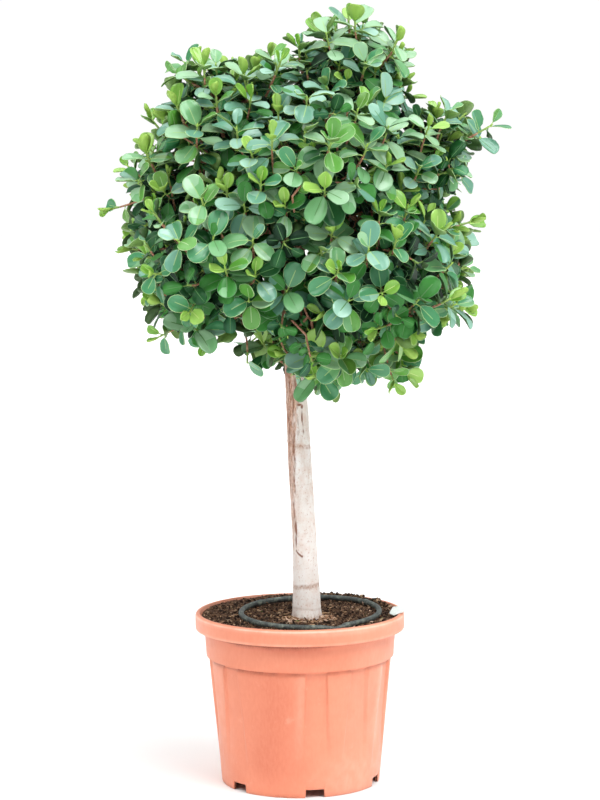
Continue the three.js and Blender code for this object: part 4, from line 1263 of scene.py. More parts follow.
def make_shoots():
    g = np.random.default_rng(2024)
    shoots = feature_shoots()
    pts, nrm, which = outer_points(g, 17000)
    far = np.ones(len(pts), bool)
    for s in shoots:
        far &= np.linalg.norm(pts - s.tip, axis=1) > 52
    pts, nrm, which = pts[far], nrm[far], which[far]
    # Rosettes that stand forward, then smaller and darker ones further in, between them
    forward = spread(pts, g, g.uniform(62, 78, len(pts)))
    clear = np.array([np.linalg.norm(pts[forward] - p, axis=1).min() > 36 for p in pts])
    rest = np.flatnonzero(clear)
    recessed = rest[spread(pts[rest], g, g.uniform(38, 50, len(rest)))]
    # Rosettes that stand forward, then smaller ones further in, between them, whose leaves are painted darker as shade
    centre = np.array([4.0, 0.0, 1040.0])
    for i, deep in [(i, False) for i in forward] + [(i, True) for i in recessed]:
        p, n, w = pts[i], nrm[i], which[i]
        high = float(smooth(1100, 1330, p[2]))
        lift = (0.50 + 0.34 * high) * (1 - 0.8 * max(0.0, -n[2]))
        out = unit(p - centre)
        heading = unit(0.56 * n + 0.14 * out + lift * UP + 0.24 * g.normal(size=3))
        spray = g.random() < 0.22 + 0.42 * high
        long = g.uniform(120, 170) if spray else g.uniform(80, 130)
        inset = g.uniform(34, 60) if deep else (g.uniform(8, 24) if not spray else g.uniform(4, 20))
        tip = p - n * inset - UP * 4 * high
        tip = fit_outline(tip, float(np.hypot(n[0], n[2])) * (0.3 if deep else 1.0), g.uniform(44, 58) if deep else g.uniform(30, 40), g)
        s = Shoot(tip, heading, long * (0.8 if deep else 1.0), w, "spray" if spray else "rosette", 0)
        s.deep = deep
        shoots.append(s)
    # Shorter shoots fill the masses behind the first, shaded, their leaves painted darker as shade
    low, high = np.array([-360.0, -340, 730]), np.array([370.0, 345, 1380])
    q = low + (high - low) * g.random((9000, 3))
    far = (((q - HOLLOW_AT) / HOLLOW_R) ** 2).sum(1) > 0.92 ** 2
    q = q[far]
    owner, depth = np.full(len(q), -1), np.zeros(len(q))
    for i, p in enumerate(q):
        for k, m in enumerate(MASSES):
            hit = SURFACES[m][2].find_nearest(Vector(p), 400.0)
            if hit[0] is not None and (Vector(p) - hit[0]).dot(hit[1]) < 0:
                owner[i], depth[i] = k, hit[3]
                break
    ok = (owner >= 0)
    q, owner = q[ok], owner[ok]
    taken = np.array([s.tip for s in shoots])
    facing = np.array([s.heading for s in shoots])
    near = np.array([np.linalg.norm(taken - p, axis=1).min() for p in q])
    q, owner = q[near > 40], owner[near > 40]
    chosen2 = spread(q, g, g.uniform(56, 70, len(q)))
    for i in chosen2:
        p, w = fit_outline(q[i], 0.0, 62.0, g), owner[i]
        heading = unit(0.7 * unit(p - centre) + 0.3 * UP + 0.5 * g.normal(size=3))
        shoots.append(Shoot(p, heading, g.uniform(50, 85), w, "inner", 1))
    return shoots


# Sprigs that stand out of the outline: tip, heading, length, mass, leaves
SPRIGS = [
    ((-331, -30, 1038), (-0.96, -0.05, -0.20), 100, "left", 4, 0.74),
    ((-300, 10, 1112), (-0.80, 0, 0.60), 90, "left", 7, 0.8),
    ((-296, -60, 968), (-0.95, -0.1, 0.10), 90, "left", 6, 0.85),
    ((-246, -40, 812), (-0.70, -0.1, -0.35), 110, "low_left", 7, 0.85),
    ((-162, -90, 806), (-0.35, -0.3, -0.55), 90, "low_left", 4, 0.8),
    ((-90, -130, 762), (-0.10, -0.3, -0.80), 110, "low_left", 4, 0.95),
    ((190, -90, 748), (0.62, -0.25, -0.72), 170, "low_right", 8, 0.95),
    ((168, -110, 732), (0.30, -0.25, -0.85), 90, "low_right", 4, 0.85),
    ((340, -50, 1180), (0.85, 0, 0.48), 150, "upper_right", 7, 0.9),
    ((310, -40, 1216), (0.60, 0, 0.75), 120, "upper_right", 6, 0.95),
    ((306, -60, 1104), (0.85, -0.1, 0.45), 120, "upper_right", 8, 0.95),
    ((304, -50, 1012), (0.85, -0.1, 0.40), 110, "upper_right", 8, 0.95),
    ((296, -40, 930), (0.90, -0.1, 0.30), 110, "right", 8, 0.9),
    ((292, -60, 866), (0.85, -0.2, -0.15), 110, "right", 7, 1.0),
    ((-196, -20, 1292), (-0.30, 0, 0.9), 130, "upper_left", 9, 1.0),
    ((-258, 0, 1196), (-0.55, 0, 0.8), 120, "upper_left", 9, 0.95),
    ((92, -20, 1372), (-0.05, 0, 0.98), 120, "top", 7, 1.0),
    ((44, -20, 1352), (-0.25, 0, 0.95), 120, "top", 7, 0.95),
    ((176, -30, 1330), (0.35, 0, 0.9), 120, "top", 8, 0.9),
]


def sprig_shoots():
    out = []
    for tip, heading, long, mass, leaves, size in SPRIGS:
        s = Shoot(np.array(tip, float), unit(np.array(heading, float)), long, MASSES.index(mass), "sprig", 0)
        s.count, s.vigour = leaves, size
        out.append(s)
    return out


# ------------------------------------------------------------------ crown: twigs that join the shoots to the boughs

CROWN_AT = np.array([4.0, 0.0, 1040.0])


def shoot_curve(s, g):
    """From the base of a shoot to its tip, bending up into its heading."""
    centre = SURFACES[MASSES[s.mass]][0].mean(0)
    radial = unit(s.tip - centre)
    start = unit(0.72 * s.heading + 0.42 * radial + 0.16 * g.normal(size=3))
    base = s.tip - start * s.long
    mid = s.tip - s.heading * s.long * 0.5
    if s.kind != "sprig" and (beyond(base[None], -16.0)[0] or not in_crown(base)):
        # A shoot near the edge comes from inside the crown and turns up at its end
        outward = unit(s.tip - CROWN_AT)
        start = unit(0.9 * outward + 0.35 * s.heading)
        s.long *= 0.8
        base = s.tip - start * s.long
        mid = s.tip - unit(0.55 * s.heading + 0.6 * outward) * s.long * 0.42
    t = np.linspace(0, 1, 7)[:, None]
    return (1 - t) ** 2 * base + 2 * t * (1 - t) * mid + t * t * s.tip


def grow_twigs(shoots, curves):
    tubes = Tubes()
    g = np.random.default_rng(777)
    for k, m in enumerate(MASSES):
        limb = LIMBS["bough_" + m]
        own = [i for i, s in enumerate(shoots) if s.mass == k]
        start = limb[12:]
        pos = [p for p in start]
        tan = list(unit(np.gradient(start, axis=0)))
        path = [0.0] * len(pos)
        parent = [-1] * len(pos)
        load = [0] * len(pos)
        chains = []
        own.sort(key=lambda i: np.linalg.norm(curves[i][0] - limb[-1]))
        for i in own:
            base = curves[i][0]
            P, T, L = np.array(pos), np.array(tan), np.array(path)
            d = base - P
            dist = np.linalg.norm(d, axis=1)
            cos = np.einsum("ij,ij->i", d / np.maximum(dist, 1e-6)[:, None], T)
            cost = dist * (1 + 0.55 * (1 - cos)) + 0.22 * L
            j = int(np.argmin(cost))
            a, ta = P[j], T[j]
            gap = dist[j]
            end_t = unit(curves[i][1] - curves[i][0])
            steps = max(1, int(gap / 24))
            t = np.linspace(0, 1, steps + 1)[1:, None]
            c1 = a + ta * gap * 0.30
            c2 = base - end_t * gap * 0.30
            pts = (1 - t) ** 3 * a + 3 * (1 - t) ** 2 * t * c1 + 3 * (1 - t) * t * t * c2 + t ** 3 * base
            if beyond(pts, -12.0).any() or not all(in_crown(p, 8.0) for p in pts[:-1]):
                pts = a + (base - a) * t
            kink = np.stack([gradient_noise(pts / 26.0 + 7 * q, 500 + q) for q in range(3)], 1) * 2.4 * (t * (1 - t) * 4)
            pts = pts + kink
            prev, last, travelled = j, a, path[j]
            index = []
            for p in pts:
                travelled += np.linalg.norm(p - last)
                pos.append(p)
                tan.append(unit(p - last))
                path.append(travelled)
                parent.append(prev)
                load.append(0)
                prev, last = len(pos) - 1, p
                index.append(prev)
            q = prev
            while q >= 0:
                load[q] += 1
                q = parent[q]
            chains.append((i, j, index))
        tip_r = {b[0]: b[6] for b in BOUGHS}["bough_" + m]
        for i, j, index in chains:
            r = np.minimum(1.9 * np.array([max(load[q], 1) for q in index]) ** 0.34, tip_r * 0.95)
            pts = np.concatenate([[pos[j]], [pos[q] for q in index], curves[i][1:]])
            top = np.linspace(max(r[-1], 2.1), 1.7, len(curves[i]))[1:]
            if shoots[i].kind == "inner":
                top = top * 0.9
            radii = np.concatenate([[r[0]], r, top]) * (1 + 0.07 * g.normal(size=len(index) + len(curves[i])))
            green = 1
            slots = np.zeros(len(pts) - 1, int)
            slots[-green:] = 1
            tubes.add_graded(pts * MM, radii * MM, 6 if r[0] > 2.4 else 5, slots)
    return tubes


def add_graded(self, points, radii, sides, slots):
    """A tube whose material changes along it: one slot for each length between points."""
    t, a, b = frames_along(points)
    ang = np.arange(sides) / sides * 2 * math.pi
    ring = np.cos(ang)[None, :, None] * a[:, None, :] + np.sin(ang)[None, :, None] * b[:, None, :]
    v = points[:, None, :] + ring * np.asarray(radii, float)[:, None, None]
    n = len(points)
    self.verts.append(v.reshape(-1, 3))
    self.faces.append((grid_faces(n, sides, True, self.n), np.repeat(slots, sides)))
    first, last = self.n, self.n + (n - 1) * sides
    self.n += n * sides
    self.verts.append(np.array([points[0] - t[0] * radii[0] * 0.3, points[-1] + t[-1] * radii[-1] * 0.8]))
    k = np.arange(sides)
    self.faces.append((np.stack([last + k, last + (k + 1) % sides, np.full(sides, self.n + 1)], 1), int(slots[-1])))
    self.faces.append((np.stack([first + (k + 1) % sides, first + k, np.full(sides, self.n)], 1), int(slots[0])))
    self.n += 2


Tubes.add_graded = add_graded

# ------------------------------------------------------------------ crown: leaves

# Colours dealt out leaf by leaf; the young ones stay near the tips. The sheen and pale classes are painted highlights,
# given to the parts of a blade that face the light
BLADES = [
    ("leaf_deep", (13, 41, 21)), ("leaf_dark", (26, 78, 35)), ("leaf_mid", (58, 126, 52)), ("leaf_bluish", (70, 140, 92)),
    ("leaf_fresh", (92, 156, 58)), ("leaf_olive", (100, 148, 58)), ("leaf_lime", (128, 180, 66)), ("leaf_new", (160, 202, 94)),
    ("leaf_painted_sheen", (110, 168, 110)), ("leaf_painted_highlight", (150, 191, 150)), ("leaf_painted_sheen_cool", (104, 158, 134)), ("leaf_painted_highlight_cool", (146, 189, 170)),
    ("leaf_teal", (40, 92, 58))]
OTHERS = [("leaf_rib", (150, 190, 126)), ("leaf_rib_new", (192, 218, 132)), ("leaf_margin", (172, 208, 146)), ("leaf_under", (112, 148, 76)),
          ("leaf_under_new", (152, 192, 84)), ("leaf_stalk", (166, 202, 104)), ("leaf_bud", (172, 208, 96)), ("leaf_rib_dark", (88, 138, 82)),
          ("leaf_margin_dark", (92, 138, 92)), ("leaf_under_dark", (62, 92, 48)), ("leaf_stalk_dark", (112, 146, 72))]
RIB, RIB_NEW, MARGIN, UNDER, UNDER_NEW, STALK, BUD, RIB_DARK, MARGIN_DARK, UNDER_DARK, STALK_DARK = range(len(BLADES), len(BLADES) + len(OTHERS))
PAINTED_GLOSS, PAINTED_HIGHLIGHT, PAINTED_GLOSS_COOL, PAINTED_HIGHLIGHT_COOL, TEAL = 8, 9, 10, 11, 12


def leaf_materials():
    out = []
    for name, c in BLADES:
        dark = name in ("leaf_deep", "leaf_dark", "leaf_mid", "leaf_teal")
        m = principled(name, srgb(*c), rough=0.40, spec=0.30 if dark else 0.45, coat=0.05 if name == "leaf_deep" else 0.18 if dark else 0.6, coat_rough=0.17)
        m.node_tree.nodes["Principled BSDF"].inputs["Specular Tint"].default_value = (0.62, 1.0, 0.76, 1.0) if dark else (0.80, 1.0, 0.90, 1.0)
        m.node_tree.nodes["Principled BSDF"].inputs["Coat Tint"].default_value = (0.94, 1.0, 0.97, 1.0)
        out.append(m)
    for name, c in OTHERS:
        out.append(principled(name, srgb(*c), rough=0.5, spec=0.4))
    return out


# Parts of a leaf: the blade's four quarters (left and right of the foot, then of the tip), rib, margin and underside
LEFT_FOOT, RIB_FACE, EDGE_FACE, UNDER_FACE, RIGHT_FOOT, LEFT_TIP, RIGHT_TIP = range(7)


def leaf_template(fine):
    """Points (u along, v across, layer) and faces with their part of the leaf. Layers: 1 top, 0 edge, -1 under."""
    pts, tris, quads = [], [], []

    def add(u, v, layer):
        pts.append((u, v, layer))
        return len(pts) - 1

    if fine:
        rows = [0.12, 0.29, 0.50, 0.70, 0.855, 0.952]
        cols = [-1.0, -0.52, -0.055, 0.055, 0.52, 1.0]
        last = len(rows) - 1

        def bent(u, v):
            return u + 0.30 * abs(v) * u * (1 - u)

        def part(r, k):
            """Part of the blade in each pattern; row -1 is the foot's fan, the last row the tip's."""
            if k == 2 and r < 3:
                return (RIB_FACE,) * 4
            left, edge = k < 3, k in (0, 4)
            tip = (r >= 2, r >= 3, r >= 2, edge and r >= 0)
            return tuple((LEFT_TIP if left else RIGHT_TIP) if t else (LEFT_FOOT if left else RIGHT_FOOT) for t in tip)

        top = [[add(bent(u, v), v, 1) for v in cols] for u in rows]
        base = [add(0.03, -0.5, 1), add(0.03, 0.5, 1)]
        tip = [add(0.985, -0.62, 1), add(0.985, 0.62, 1)]
        for r in range(last):
            for k in range(5):
                a, b, d, e = top[r][k], top[r][k + 1], top[r + 1][k + 1], top[r + 1][k]
                if r == 2 and k in (0, 4):
                    # In the third pattern the tones meet aslant here
                    own = part(r, k)
                    foot = own[:2] + (part(1, k)[2],) + own[3:]
                    tris += [(a, b, e, foot), (b, d, e, own)] if k == 0 else [(a, b, d, foot), (a, d, e, own)]
                else:
                    quads.append((a, b, d, e, part(r, k)))
        f, l = top[0], top[-1]
        quads.append((base[0], base[1], f[3], f[2], part(-1, 2)))
        tris += [(base[0], f[2], f[1], part(-1, 1)), (base[0], f[1], f[0], part(-1, 0)), (base[1], f[4], f[3], part(-1, 3)), (base[1], f[5], f[4], part(-1, 4))]
        quads.append((l[2], l[3], tip[1], tip[0], part(last, 2)))
        tris += [(l[1], l[2], tip[0], part(last, 1)), (l[0], l[1], tip[0], part(last, 0)), (l[3], l[4], tip[1], part(last, 3)), (l[4], l[5], tip[1], part(last, 4))]
        # Edge ring, one point outside each point of the top's outline, in order round the leaf
        inner = [base[1]] + [r[5] for r in top] + [tip[1], tip[0]] + [r[0] for r in top[::-1]] + [base[0]]
        outer_uv = [(0.0, 0.6)] + [(bent(u, 1), 1.0) for u in rows] + [(1.0, 0.8), (1.0, -0.8)] + [(bent(u, 1), -1.0) for u in rows[::-1]] + [(0.0, -0.6)]
        outer = [add(u, v, 0) for u, v in outer_uv]
        n = len(inner)
        for k in range(n):
            quads.append((inner[k], outer[k], outer[(k + 1) % n], inner[(k + 1) % n], EDGE_FACE))
        mid = [add(u, 0.0, -1) for u in rows]
        right = outer[1:last + 2]
        left = outer[last + 4:2 * last + 5][::-1]
        for r in range(last):
            quads.append((mid[r], mid[r + 1], right[r + 1], right[r], UNDER_FACE))
            quads.append((left[r], left[r + 1], mid[r + 1], mid[r], UNDER_FACE))
        end, t1, t2 = outer[-1], outer[last + 2], outer[last + 3]
        tris += [(outer[0], mid[0], right[0], UNDER_FACE), (end, left[0], mid[0], UNDER_FACE), (end, mid[0], outer[0], UNDER_FACE),
                 (right[last], mid[last], t1, UNDER_FACE), (mid[last], left[last], t2, UNDER_FACE), (mid[last], t2, t1, UNDER_FACE)]
    else:
        rows = [0.17, 0.45, 0.76, 0.94]
        base, tip = add(0.0, 0.0, 0), add(1.0, 0.0, 0)
        left = [add(u, -1.0, 0) for u in rows]
        right = [add(u, 1.0, 0) for u in rows]
        ml = [add(u, -0.07, 1) for u in rows]
        mr = [add(u, 0.07, 1) for u in rows]
        low = [add(u, 0.0, -1) for u in rows]
        for r in range(3):
            quads += [(left[r], ml[r], ml[r + 1], left[r + 1], LEFT_TIP if r else LEFT_FOOT), (ml[r], mr[r], mr[r + 1], ml[r + 1], RIB_FACE),
                      (mr[r], right[r], right[r + 1], mr[r + 1], RIGHT_TIP if r else RIGHT_FOOT),
                      (low[r], left[r], left[r + 1], low[r + 1], UNDER_FACE), (right[r], low[r], low[r + 1], right[r + 1], UNDER_FACE)]
        tris += [(base, ml[0], left[0], LEFT_FOOT), (base, mr[0], ml[0], RIB_FACE), (base, right[0], mr[0], RIGHT_FOOT),
                 (tip, left[3], ml[3], LEFT_TIP), (tip, ml[3], mr[3], LEFT_TIP), (tip, mr[3], right[3], RIGHT_TIP),
                 (base, left[0], low[0], UNDER_FACE), (base, low[0], right[0], UNDER_FACE),
                 (tip, low[3], left[3], UNDER_FACE), (tip, right[3], low[3], UNDER_FACE)]
    def roles(parts):
        return np.array([f if isinstance(f, tuple) else (f,) * 4 for f in parts]).T

    p = np.array(pts)
    return p, np.array([t[:3] for t in tris]), roles([t[3] for t in tris]), np.array([q[:4] for q in quads]), roles([q[4] for q in quads])


def leaf_points(tp, leaf):
    """Points of every leaf, (leaves, points, 3), from the columns of leaf."""
    u, v, layer = tp[:, 0][None], tp[:, 1][None], tp[:, 2][None]
    L, W = leaf["long"][:, None], leaf["wide"][:, None]
    a, b = leaf["obovate"][:, None], 0.43
    peak = (a / (a + b)) ** a * (b / (a + b)) ** b
    uc = np.clip(u, 0.012, 0.992)
    shape = np.maximum(uc ** a * (1 - uc) ** b / peak, 0.05)
    half = W / 2 * shape
    if len(tp) > 25:
        rim = (layer > 0.5) & (np.abs(v) > 0.2)
        v = np.where(np.abs(v) < 0.1, v * (1.5 - 1.1 * u), v)
        inset = np.where(rim, np.clip(1.05 / np.maximum(half, 2.0), 0, 0.34), 0.0)
    else:
        v = np.where(np.abs(v) < 0.1, v * (1.1 - 0.9 * u), v)
        inset = 0.0
    x = half * v * (1 - inset)
    ripple = leaf["ripple"][:, None] * np.sin(9.5 * u + leaf["phase"][:, None]) * v * np.abs(v)
    z = half * (leaf["fold"][:, None] * (np.sqrt(v * v + 0.02) - 0.1414) + leaf["cup"][:, None] * v * v) + ripple
    z = z - 0.5 * np.exp(-(v / 0.12) ** 2) * (layer > 0.5)
    keel = 0.5 + half * (0.15 * leaf["fold"][:, None] + 0.56 * np.maximum(leaf["cup"][:, None], 0)) + 0.8 * np.abs(leaf["ripple"][:, None])
    z = z + np.where(layer > 0.5, 0.45, np.where(layer < -0.5, -keel, 0.0))
    k = leaf["curl"][:, None]
    k = np.where(np.abs(k) < 0.05, 0.05, k)
    y = L * np.sin(k * u) / k
    drop = -L * (1 - np.cos(k * u)) / k
    # The blade's own up turns with the curl
    yy = y + z * np.sin(k * u)
    zz = drop + z * np.cos(k * u)
    tw = leaf["twist"][:, None] * u
    xx = x * np.cos(tw) - zz * np.sin(tw)
    zz = x * np.sin(tw) + zz * np.cos(tw)
    d, s, n = leaf["along"][:, None], leaf["side"][:, None], leaf["up"][:, None]
    return leaf["at"][:, None] + s * xx[..., None] + d * yy[..., None] + n * zz[..., None]


LIGHT = unit(np.array([0.30, -0.50, 0.82]))

# A coarse net of points over a blade, to find where one leaf would cut another
NET = np.array([(u, v, 0.0) for u in (0.06, 0.32, 0.60, 0.86, 0.985) for v in (-1.0, -0.5, 0.0, 0.5, 1.0)])
NET_A, NET_B = np.array([(5 * r + c, 5 * r + c + 1) for r in range(5) for c in range(4)] + [(5 * r + c, 5 * r + c + 5) for r in range(4) for c in range(5)]).T
COLUMNS = dict(at=slice(0, 3), along=slice(3, 6), side=slice(6, 9), up=slice(9, 12), long=12, wide=13, obovate=14, fold=15, cup=16, curl=17,
               twist=18, ripple=19, phase=20)


def half_width(A, u):
    a, b = A[:, 14:15], 0.43
    peak = (a / (a + b)) ** a * (b / (a + b)) ** b
    uc = np.clip(u, 0.012, 0.992)
    return A[:, 13:14] / 2 * np.maximum(uc ** a * (1 - uc) ** b / peak, 0.05)


def cut_by(A, P):
    """Whether each leaf of A (m, columns) is cut by the net P (m, 25, 3) of another."""
    d = P - A[:, None, 0:3]
    y = np.einsum("mkc,mc->mk", d, A[:, 3:6])
    x = np.einsum("mkc,mc->mk", d, A[:, 6:9])
    z = np.einsum("mkc,mc->mk", d, A[:, 9:12])
    long, k = A[:, 12:13], A[:, 17:18]
    k = np.where(np.abs(k) < 0.05, 0.05, k)
    u = np.arcsin(np.clip(k * y / long, -0.97, 0.97)) / k
    tw = A[:, 18:19] * np.clip(u, 0, 1)
    x, z = x * np.cos(tw) + z * np.sin(tw), z * np.cos(tw) - x * np.sin(tw)
    half = half_width(A, u)
    v = np.clip(x / half, -1, 1)
    own = half * (A[:, 15:16] * (np.sqrt(v * v + 0.02) - 0.1414) + A[:, 16:17] * v * v)
    h = z + long * (1 - np.cos(k * u)) / k - own * np.cos(k * u)
    ha, hb = h[:, NET_A], h[:, NET_B]
    s = ha / np.where(np.abs(ha - hb) < 1e-9, 1.0, ha - hb)
    uu = u[:, NET_A] + (u[:, NET_B] - u[:, NET_A]) * s
    xx = x[:, NET_A] + (x[:, NET_B] - x[:, NET_A]) * s
    return ((ha * hb < 0) & (uu > 0.03) & (uu < 0.97) & (np.abs(xx) < 0.95 * half_width(A, uu))).any(1)


def swung(row, spin, pitch, size):
    """A leaf turned about its shoot and tipped on its foot."""
    row = row.copy()
    for axis, angle in ((row[28:31], spin), (row[6:9], pitch)):
        c, s = math.cos(math.radians(angle)), math.sin(math.radians(angle))
        foot = row[24:27]
        for q in (0, 3, 6, 9):
            w = row[q:q + 3] - foot if q == 0 else row[q:q + 3]
            w = w * c + np.cross(axis, w) * s + axis * np.dot(axis, w) * (1 - c)
            row[q:q + 3] = w + foot if q == 0 else w
    row[12] *= size
    row[13] *= size
    return row


SWINGS = [(0, 0, 1.0), (15, 0, 1.0), (-15, 0, 1.0), (0, 12, 0.95), (0, -12, 0.95), (28, 8, 0.9), (-28, -8, 0.9), (8, -24, 0.86), (-8, 24, 0.84)]


def keep_apart(R):
    """Places the leaves in order of rank, each turned a little if it would cut another, or left out."""
    cell = 58.0
    kept, nets, mids, sizes, n = np.empty_like(R), np.empty((len(R), 25, 3)), np.empty((len(R), 3)), np.empty(len(R)), 0
    cells = {}
    around = [(a, b, c) for a in (-1, 0, 1) for b in (-1, 0, 1) for c in (-1, 0, 1)]
    for i in np.argsort(R[:, 31]):
        swings = SWINGS if R[i, 31] < 8.5 else SWINGS[:4]
        for spin, pitch, size in swings:
            row = R[i] if spin == 0 and pitch == 0 else swung(R[i], spin, pitch, size)
            net = leaf_points(NET, {k: row[None][:, v] for k, v in COLUMNS.items()})[0]
            mid = net[12]
            home = tuple(np.floor(mid / cell).astype(int))
            near = [q for a, b, c in around for q in cells.get((home[0] + a, home[1] + b, home[2] + c), ())]
            if near:
                near = np.array(near)
                near = near[np.linalg.norm(mids[near] - mid, axis=1) < (sizes[near] + row[12]) * 0.56]
            m = len(near)
            if m:
                A = np.concatenate([kept[near], np.repeat(row[None], m, 0)])
                P = np.concatenate([np.repeat(net[None], m, 0), nets[near]])
                if cut_by(A, P).any():
                    continue
            kept[n], nets[n], mids[n], sizes[n] = row, net, mid, row[12]
            cells.setdefault(home, []).append(n)
            n += 1
            break
    print("leaves kept apart", n, "of", len(R))
    return kept[:n]



# Shoots whose leaves are painted paler as light (above 0) and darker as shade in hollows (below 0), at the front: x, z,
# how much
LIT = [(-187, 1116, 1.5), (258, 1116, 1.7), (45, 1350, 0.3), (48, 1000, 0.8), (-187, 998, -1.0), (165, 1000, -0.9), (-70, 880, -0.6), (-188, 815, -0.8)]


def lay_leaves(shoots, curves):
    """Columns of every leaf and bud of the crown."""
    rows = []
    for which, (s, curve) in enumerate(zip(shoots, curves)):
        g = np.random.default_rng([4242, which])
        fine = catmull(curve, 6)
        seg = np.linalg.norm(np.diff(fine, axis=0), axis=1)
        cum = np.concatenate([[0], np.cumsum(seg)])
        whole = cum[-1]
        tan = unit(np.gradient(fine, axis=0))
        side = unit(np.cross(tan[-1], UP) + 1e-4)
        turn = g.random() * 2 * math.pi
        if s.kind == "inner":
            gaps = np.cumsum(g.uniform(5.5, 9.5, 9))
        elif s.kind == "spray":
            gaps = np.cumsum(np.concatenate([[1.0], g.uniform(4.5, 7.0, 3), g.uniform(6.5, 9.5, 13)]))
        elif s.kind == "sprig":
            gaps = np.cumsum(np.concatenate([[1.0], g.uniform(5, 8, 2), g.uniform(9, 13, 5)]))[:s.count]
        else:
            gaps = np.cumsum(np.concatenate([[1.0], g.uniform(2.5, 5.0, 3), g.uniform(4.5, 8, 10)]))
        gaps = gaps[gaps < whole * 0.93]
        growing = g.random() < (0.56 if s.kind != "inner" else 0.10)
        if s.kind == "feature":
            growing = s.growing
        s.grows = growing
        deep = getattr(s, "deep", False)
        loose = 0.0 if s.kind != "sprig" else 1.0 if beyond(s.tip[None], 10.0)[0] else 0.7
        vigour = s.vigour if s.kind in ("feature", "sprig") else g.uniform(0.86, 1.10)
        # tone is random and paler higher up; low_front and lit_here paint shade and light into the choice of colour
        tone = gradient_noise(s.tip[None] / 120.0, 31)[0] + 0.55 * gradient_noise(s.tip[None] / 45.0, 37)[0] + 0.35 * (s.tip[2] - 1000) / 380 + 0.12 * g.normal()
        cool = g.normal() * 0.5 - 0.1
        low_front = float(smooth(1130, 950, s.tip[2]) * smooth(800, 870, s.tip[2]) * smooth(-30, -150, s.tip[1])) * (0.2 if s.kind == "feature" else 1.0)
        lit_here = sum(much * math.exp(-((s.tip[0] - x0) ** 2 + (s.tip[2] - z0) ** 2) / 46.0 ** 2) for x0, z0, much in LIT) * float(smooth(60, -20, s.tip[1]))
        for j, back in enumerate(gaps):
            at = np.array([np.interp(whole - back, cum, fine[:, q]) for q in range(3)])
            t = unit(np.array([np.interp(whole - back, cum, tan[:, q]) for q in range(3)]))
            a = unit(np.cross(t, side))
            b = np.cross(t, a)
            turn += math.radians(137.5 + g.normal() * 9)
            r = a * math.cos(turn) + b * math.sin(turn)
            young = [1.0, 0.62, 0.25, 0.0][min(j, 3)] if growing else (0.3 if j == 0 else 0.0)
            if s.kind == "inner":
                young = 0.0
            lean = [24, 36, 48][j] if j < 3 else (58 + 3.0 * min(j, 7))
            if s.kind == "spray":
                lean = [16, 26, 36][j] if j < 3 else 46 + 1.5 * j
            if s.kind == "inner":
                lean = 50
            lean = math.radians(lean + g.normal() * 8)
            d = math.cos(lean) * t + math.sin(lean) * r
            up = unit(t - d * np.dot(t, d))
            stalk = (5.5 + 6.5 * g.random()) * (1 - 0.5 * young)
            blade_at = at + d * stalk
            # The blade turns over from its stalk, its face to the light
            fall = 0.10 + 0.32 * g.random()
            d2 = unit(d - up * fall * (1 - young) + 0.10 * g.normal(size=3))
            want = unit(up + (0.42 if s.kind != "spray" else 0.2) * LIGHT + 0.16 * g.normal(size=3))
            if s.kind == "sprig":
                want = unit(want + np.array([0.0, -0.75, 0.2]))
            n2 = unit(want - d2 * np.dot(want, d2))
            s2 = np.cross(d2, n2)
            long = (g.uniform(34, 50) * vigour) * (1 - 0.34 * young) * {"inner": 0.78, "spray": 0.88, "feature": 1.06}.get(s.kind, 1.0)
            if s.kind == "feature":
                long = g.uniform(38, 47) * vigour * (1 - 0.34 * young)
            long *= (1 - 0.022 * min(j, 9)) * (0.80 if deep else 1.04)
            if not growing and j == 0:
                long *= 0.8
            wide = long * g.uniform(0.66, 0.86) * (1 - 0.10 * young)
            # Painted light and shade: forward shoots, sprigs and lit shoots get paler colours, recessed, inner and
            # low-front ones darker
            pick = tone + 0.5 * g.normal() + (0.25 if j < 4 else -0.12 * (j - 3))
            if s.kind == "inner":
                pick -= 1.3
            pick += (-1.2 if deep else 0.22) - 0.35 * low_front + 0.32 * lit_here + (0.3 if s.kind == "sprig" else 0.0)
            if s.kind == "feature":
                pick = max(pick, -0.2 + 0.4 * g.normal())
            fold, cup = g.uniform(0.02, 0.30) + 0.25 * young, g.uniform(-0.02, 0.20)
            curl = g.uniform(0.05, 0.75) * (1 - young) - 0.25 * young
            quarters = None
            if young > 0.6:
                blade = 7 if g.random() < 0.55 else 6
            elif young > 0.3:
                blade = 6 if g.random() < 0.6 else 4
            else:
                blade = int(np.clip(np.searchsorted([-1.1, -0.45, 0.1, 0.5, 1.15, 1.8], pick), 0, 6))
                if blade == 5 and g.random() < 0.5:
                    blade = 4
                # shine sets how much painted highlight the quarters get: less for inner, recessed, older and low-front
                # leaves, more high up and on lit shoots
                shine = 0.20 * g.normal() - (0.9 if s.kind == "inner" else 0.0) + (0.12 if j < 5 else -0.08 * (j - 4)) - 0.13 * low_front
                shine += 0.16 * float(smooth(1120, 1300, s.tip[2])) - 0.08 - (0.40 if deep else -0.08) + (0.05 if s.kind == "feature" else 0.0)
                # Low features get more painted highlight, and the lowest paler blades, as painted light
                if s.kind == "feature":
                    shine += 0.42 * float(smooth(900, 810, s.tip[2]))
                    if s.tip[2] < 800 and blade in (0, 1, 2, 3, TEAL):
                        blade = (4, 2, 3)[j % 3]
                shine += 0.22 * lit_here
                blue = cool + 0.35 * g.normal() > -0.06
                if blue and blade in (4, 5) and g.random() < 0.7:
                    blade = 3
                if blade in (4, 5, 6):
                    blue = False
                if blade == 1 and blue and g.random() < 0.6:
                    blade = TEAL
                # Low at the front the darkest colours give way to mid greens: painted light against the crown's shade
                if s.tip[2] < 860 and s.tip[1] < 0 and blade in (0, 1, TEAL):
                    if s.kind == "inner":
                        blade = TEAL if j % 2 else 2
                    elif s.tip[1] < -40:
                        blade = 2 if blade == 0 or j % 2 else 3
